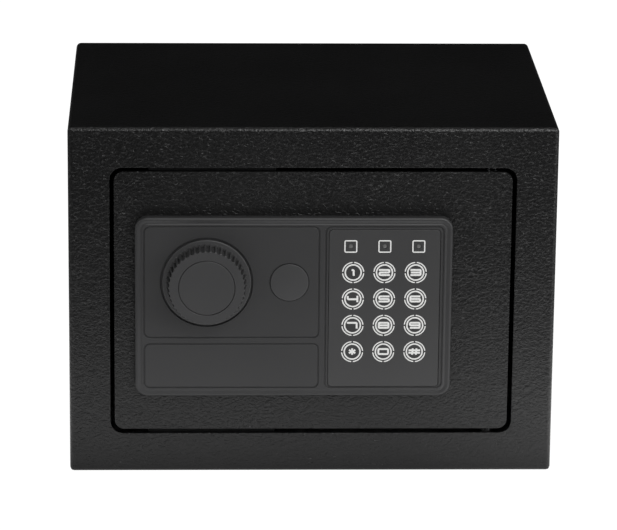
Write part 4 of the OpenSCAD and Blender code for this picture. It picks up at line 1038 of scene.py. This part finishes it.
def makeCap(s):
    bm = bmesh.new()
    r, front, back = s["radius"], capLow.y, capHigh.y
    rimFront = front + s["dome"]
    seat = rimFront + s["rimDepth"]
    outside, inside = s["plugRadius"] - r, s["plugRadius"] - r - s["plugWall"]
    profile = [(-r + r * k, front + s["dome"] * k * k) for k in (0.03, 0.2, 0.4, 0.6, 0.75, 0.87)]
    profile += toWall(s["rimRound"], rimFront - s["rimRise"], quarter(5))
    profile += [(0.0, seat), (outside, seat), (outside, back), (inside, back), (inside, seat)]
    for loop in strip(bm, disc(*capCentre, r, 128), profile):
        cap(bm, loop)
    pieceFrom("keyholeCap", bm, "capPlastic", "cap", ["keyhole_cap"])


makeCap(capSizes)
print("knob and cap made")


# felt mat
matSizes = {"corner": 1.5 * mm, "holeRadius": 6.0 * mm, "holePitch": 100.0 * mm, "edge": 0.6 * mm}


def makeMat(s):
    low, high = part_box("floor_mat")
    top, under, e = high.z, low.z, s["edge"]
    bm = bmesh.new()

    def edged(outline, side):
        rim = [(side * e, top), (side * e * 0.3, top - e * 0.2), (0.0, top - e), (0.0, under)]
        return strip(bm, outline, rim, laid=True)

    loops = [edged(square(low.x, low.y, high.x, high.y, s["corner"], 6), -1)]
    for side in (-1, 1):
        loops.append(edged(disc(side * s["holePitch"] / 2, 0.0, s["holeRadius"], 48), 1))
    tops, unders = zip(*loops)
    cap(bm, *tops)
    cap(bm, *unders)
    mat = pieceFrom("feltMat", bm, "greyFelt", "case", ["floor_mat"])


makeMat(matSizes)
print("felt mat laid")


# floor, light and background
studio = {
    "floorSize": 9.0,
    "floorDrop": 0.2 * mm,  # under the feet of the body
    "floorColour": (0.82, 0.82, 0.82),
    "floorSeen": 0.8,  # share of plain white in what the camera sees of the floor
    "floorGlow": 1.25,  # its strength, so that the lit floor comes out just white
    "footprint": (0.115, 0.085),  # half of the body's width and depth
    # a painted pool of light on the floor, seen only in gloss: dim right by the body as painted shadow,
    # brightest a little away, fading further out
    "paintedGlowReach": 0.44,  # how far from the body the painted pool of light still shows in gloss
    "paintedGlowMirror": 1.7,
    "paintedGlowStops": [(0.0, 0.3), (0.09, 0.62), (0.15, 1.0), (0.21, 0.75), (0.3, 0.33), (0.5, 0.1), (1.0, 0.04)],
    "paintedGlowRight": (0.05, 0.12, 0.6),  # the painted light is brighter from here to there on the right, by this share
    "skyLight": 0.36,  # what lights the object besides the lamps
    "skyAhead": 0.8,  # and how much more comes from in front
    "skyMirror": 0.012,  # what it mirrors: a dark room with a white sheet at each side and one overhead
    "sideMirror": (0.62, 0.78, 0.8),
    "overMirror": (0.8, 0.9, 0.35),
}
lamps = [
    # name, place, aim, width, height, power, whether it lights matt surfaces
    ("topBox", (0.5, -1.15, 1.3), (0.0, -0.08, 0.1), 0.8, 0.4, 1.8, True),
    ("edgeBox", (0.45, -1.0, 1.1), (0.0, -0.08, 0.1), 0.9, 0.3, 11.0, False),
    ("rightBox", (1.5, -0.9, 0.45), (0.0, -0.08, 0.08), 0.5, 0.8, 6.0, True),
]


def rayKinds(graph):
    # 1 where the camera looks, where gloss mirrors, and where glass lets through
    return graph.add("ShaderNodeLightPath", output=("Is Camera Ray", "Is Glossy Ray", "Is Transmission Ray"))


def makeFloor(s):
    half = s["floorSize"] / 2
    mesh = bpy.data.meshes.new("paleFloor")
    corners = [(-half, -half, 0), (half, -half, 0), (half, half, 0), (-half, half, 0)]
    mesh.from_pydata(corners, [], [(0, 1, 2, 3)])
    floor = inScene("paleFloor", mesh)
    floor.location.z = -s["floorDrop"]
    f = Finish("paleFloor", Roughness=0.9, Specular_IOR_Level=0.1)
    f.feed(Base_Color=f.blend(f.noise(3, 2.0), s["floorColour"], shaded(s["floorColour"], 0.985)))
    seen, mirrored, through = rayKinds(f)
    x, y, z = f.split(f.place)
    # for mirrored rays the floor glows as a painted pool of light round the body, with painted shadow close
    # to it and painted light brighter on the right; the camera sees it plain white
    past = [abs(v) - edge for v, edge in zip((x, y), s["footprint"])]
    away = [v.over(0.0) * v for v in past]
    reach = (away[0] * away[0] + away[1] * away[1]) ** 0.5 / s["paintedGlowReach"]
    stops = [(at, (grey, grey, grey, 1.0)) for at, grey in s["paintedGlowStops"]]
    start, end, more = s["paintedGlowRight"]
    right = ((x - start) / (end - start)).clamped() * more + 1.0
    paintedGlow = f.add("ShaderNodeValToRGB", {"stops": stops}, Fac=reach) * right * s["paintedGlowMirror"]
    glow = f.add("ShaderNodeEmission", Strength=(seen + through) * s["floorGlow"] + mirrored * paintedGlow)
    share = (seen + through) * s["floorSeen"] + mirrored
    f.plug(f.end.inputs["Surface"], f.add("ShaderNodeMixShader", values=(share, f.shader, glow)))
    f.material.cycles.emission_sampling = "NONE"
    mesh.materials.append(f.material)


def makeLamp(name, place, aim, width, height, power, matt):
    data = bpy.data.lights.new(name, "AREA")
    data.shape, data.size, data.size_y, data.energy = "RECTANGLE", width, height, power
    lamp = inScene(name, data)
    lamp.visible_camera, lamp.visible_diffuse = False, matt
    lamp.location = place
    lamp.rotation_euler = (Vector(aim) - Vector(place)).to_track_quat("-Z", "Y").to_euler()


def makeSky(s):
    world = bpy.data.worlds.new("studio")
    bpy.context.scene.world = world
    world.use_nodes = True
    world.cycles.sampling_method = "NONE"
    g = Graph(world.node_tree)
    g.tree.nodes.clear()
    seen, mirrored, through = rayKinds(g)
    x, y, z = g.split(g.add("ShaderNodeTexCoord", output="Generated"))
    mirror = s["skyMirror"]
    for height, (low, high, strength) in ((abs(x), s["sideMirror"]), (z, s["overMirror"])):
        mirror = ((height - low) / (high - low)).clamped() * strength + mirror
    plain = (0.0 - y).clamped() * s["skyAhead"] + s["skyLight"]
    strength = plain + (seen + through) * (1.0 - plain) + mirrored * (mirror - plain)
    shine = g.add("ShaderNodeBackground", Color=(1.0, 1.0, 1.0), Strength=strength)
    g.add("ShaderNodeOutputWorld", Surface=shine)


makeFloor(studio)
makeSky(studio)
for lamp in lamps:
    makeLamp(*lamp)
bpy.context.scene.view_settings.view_transform = "Standard"
print("studio lit")
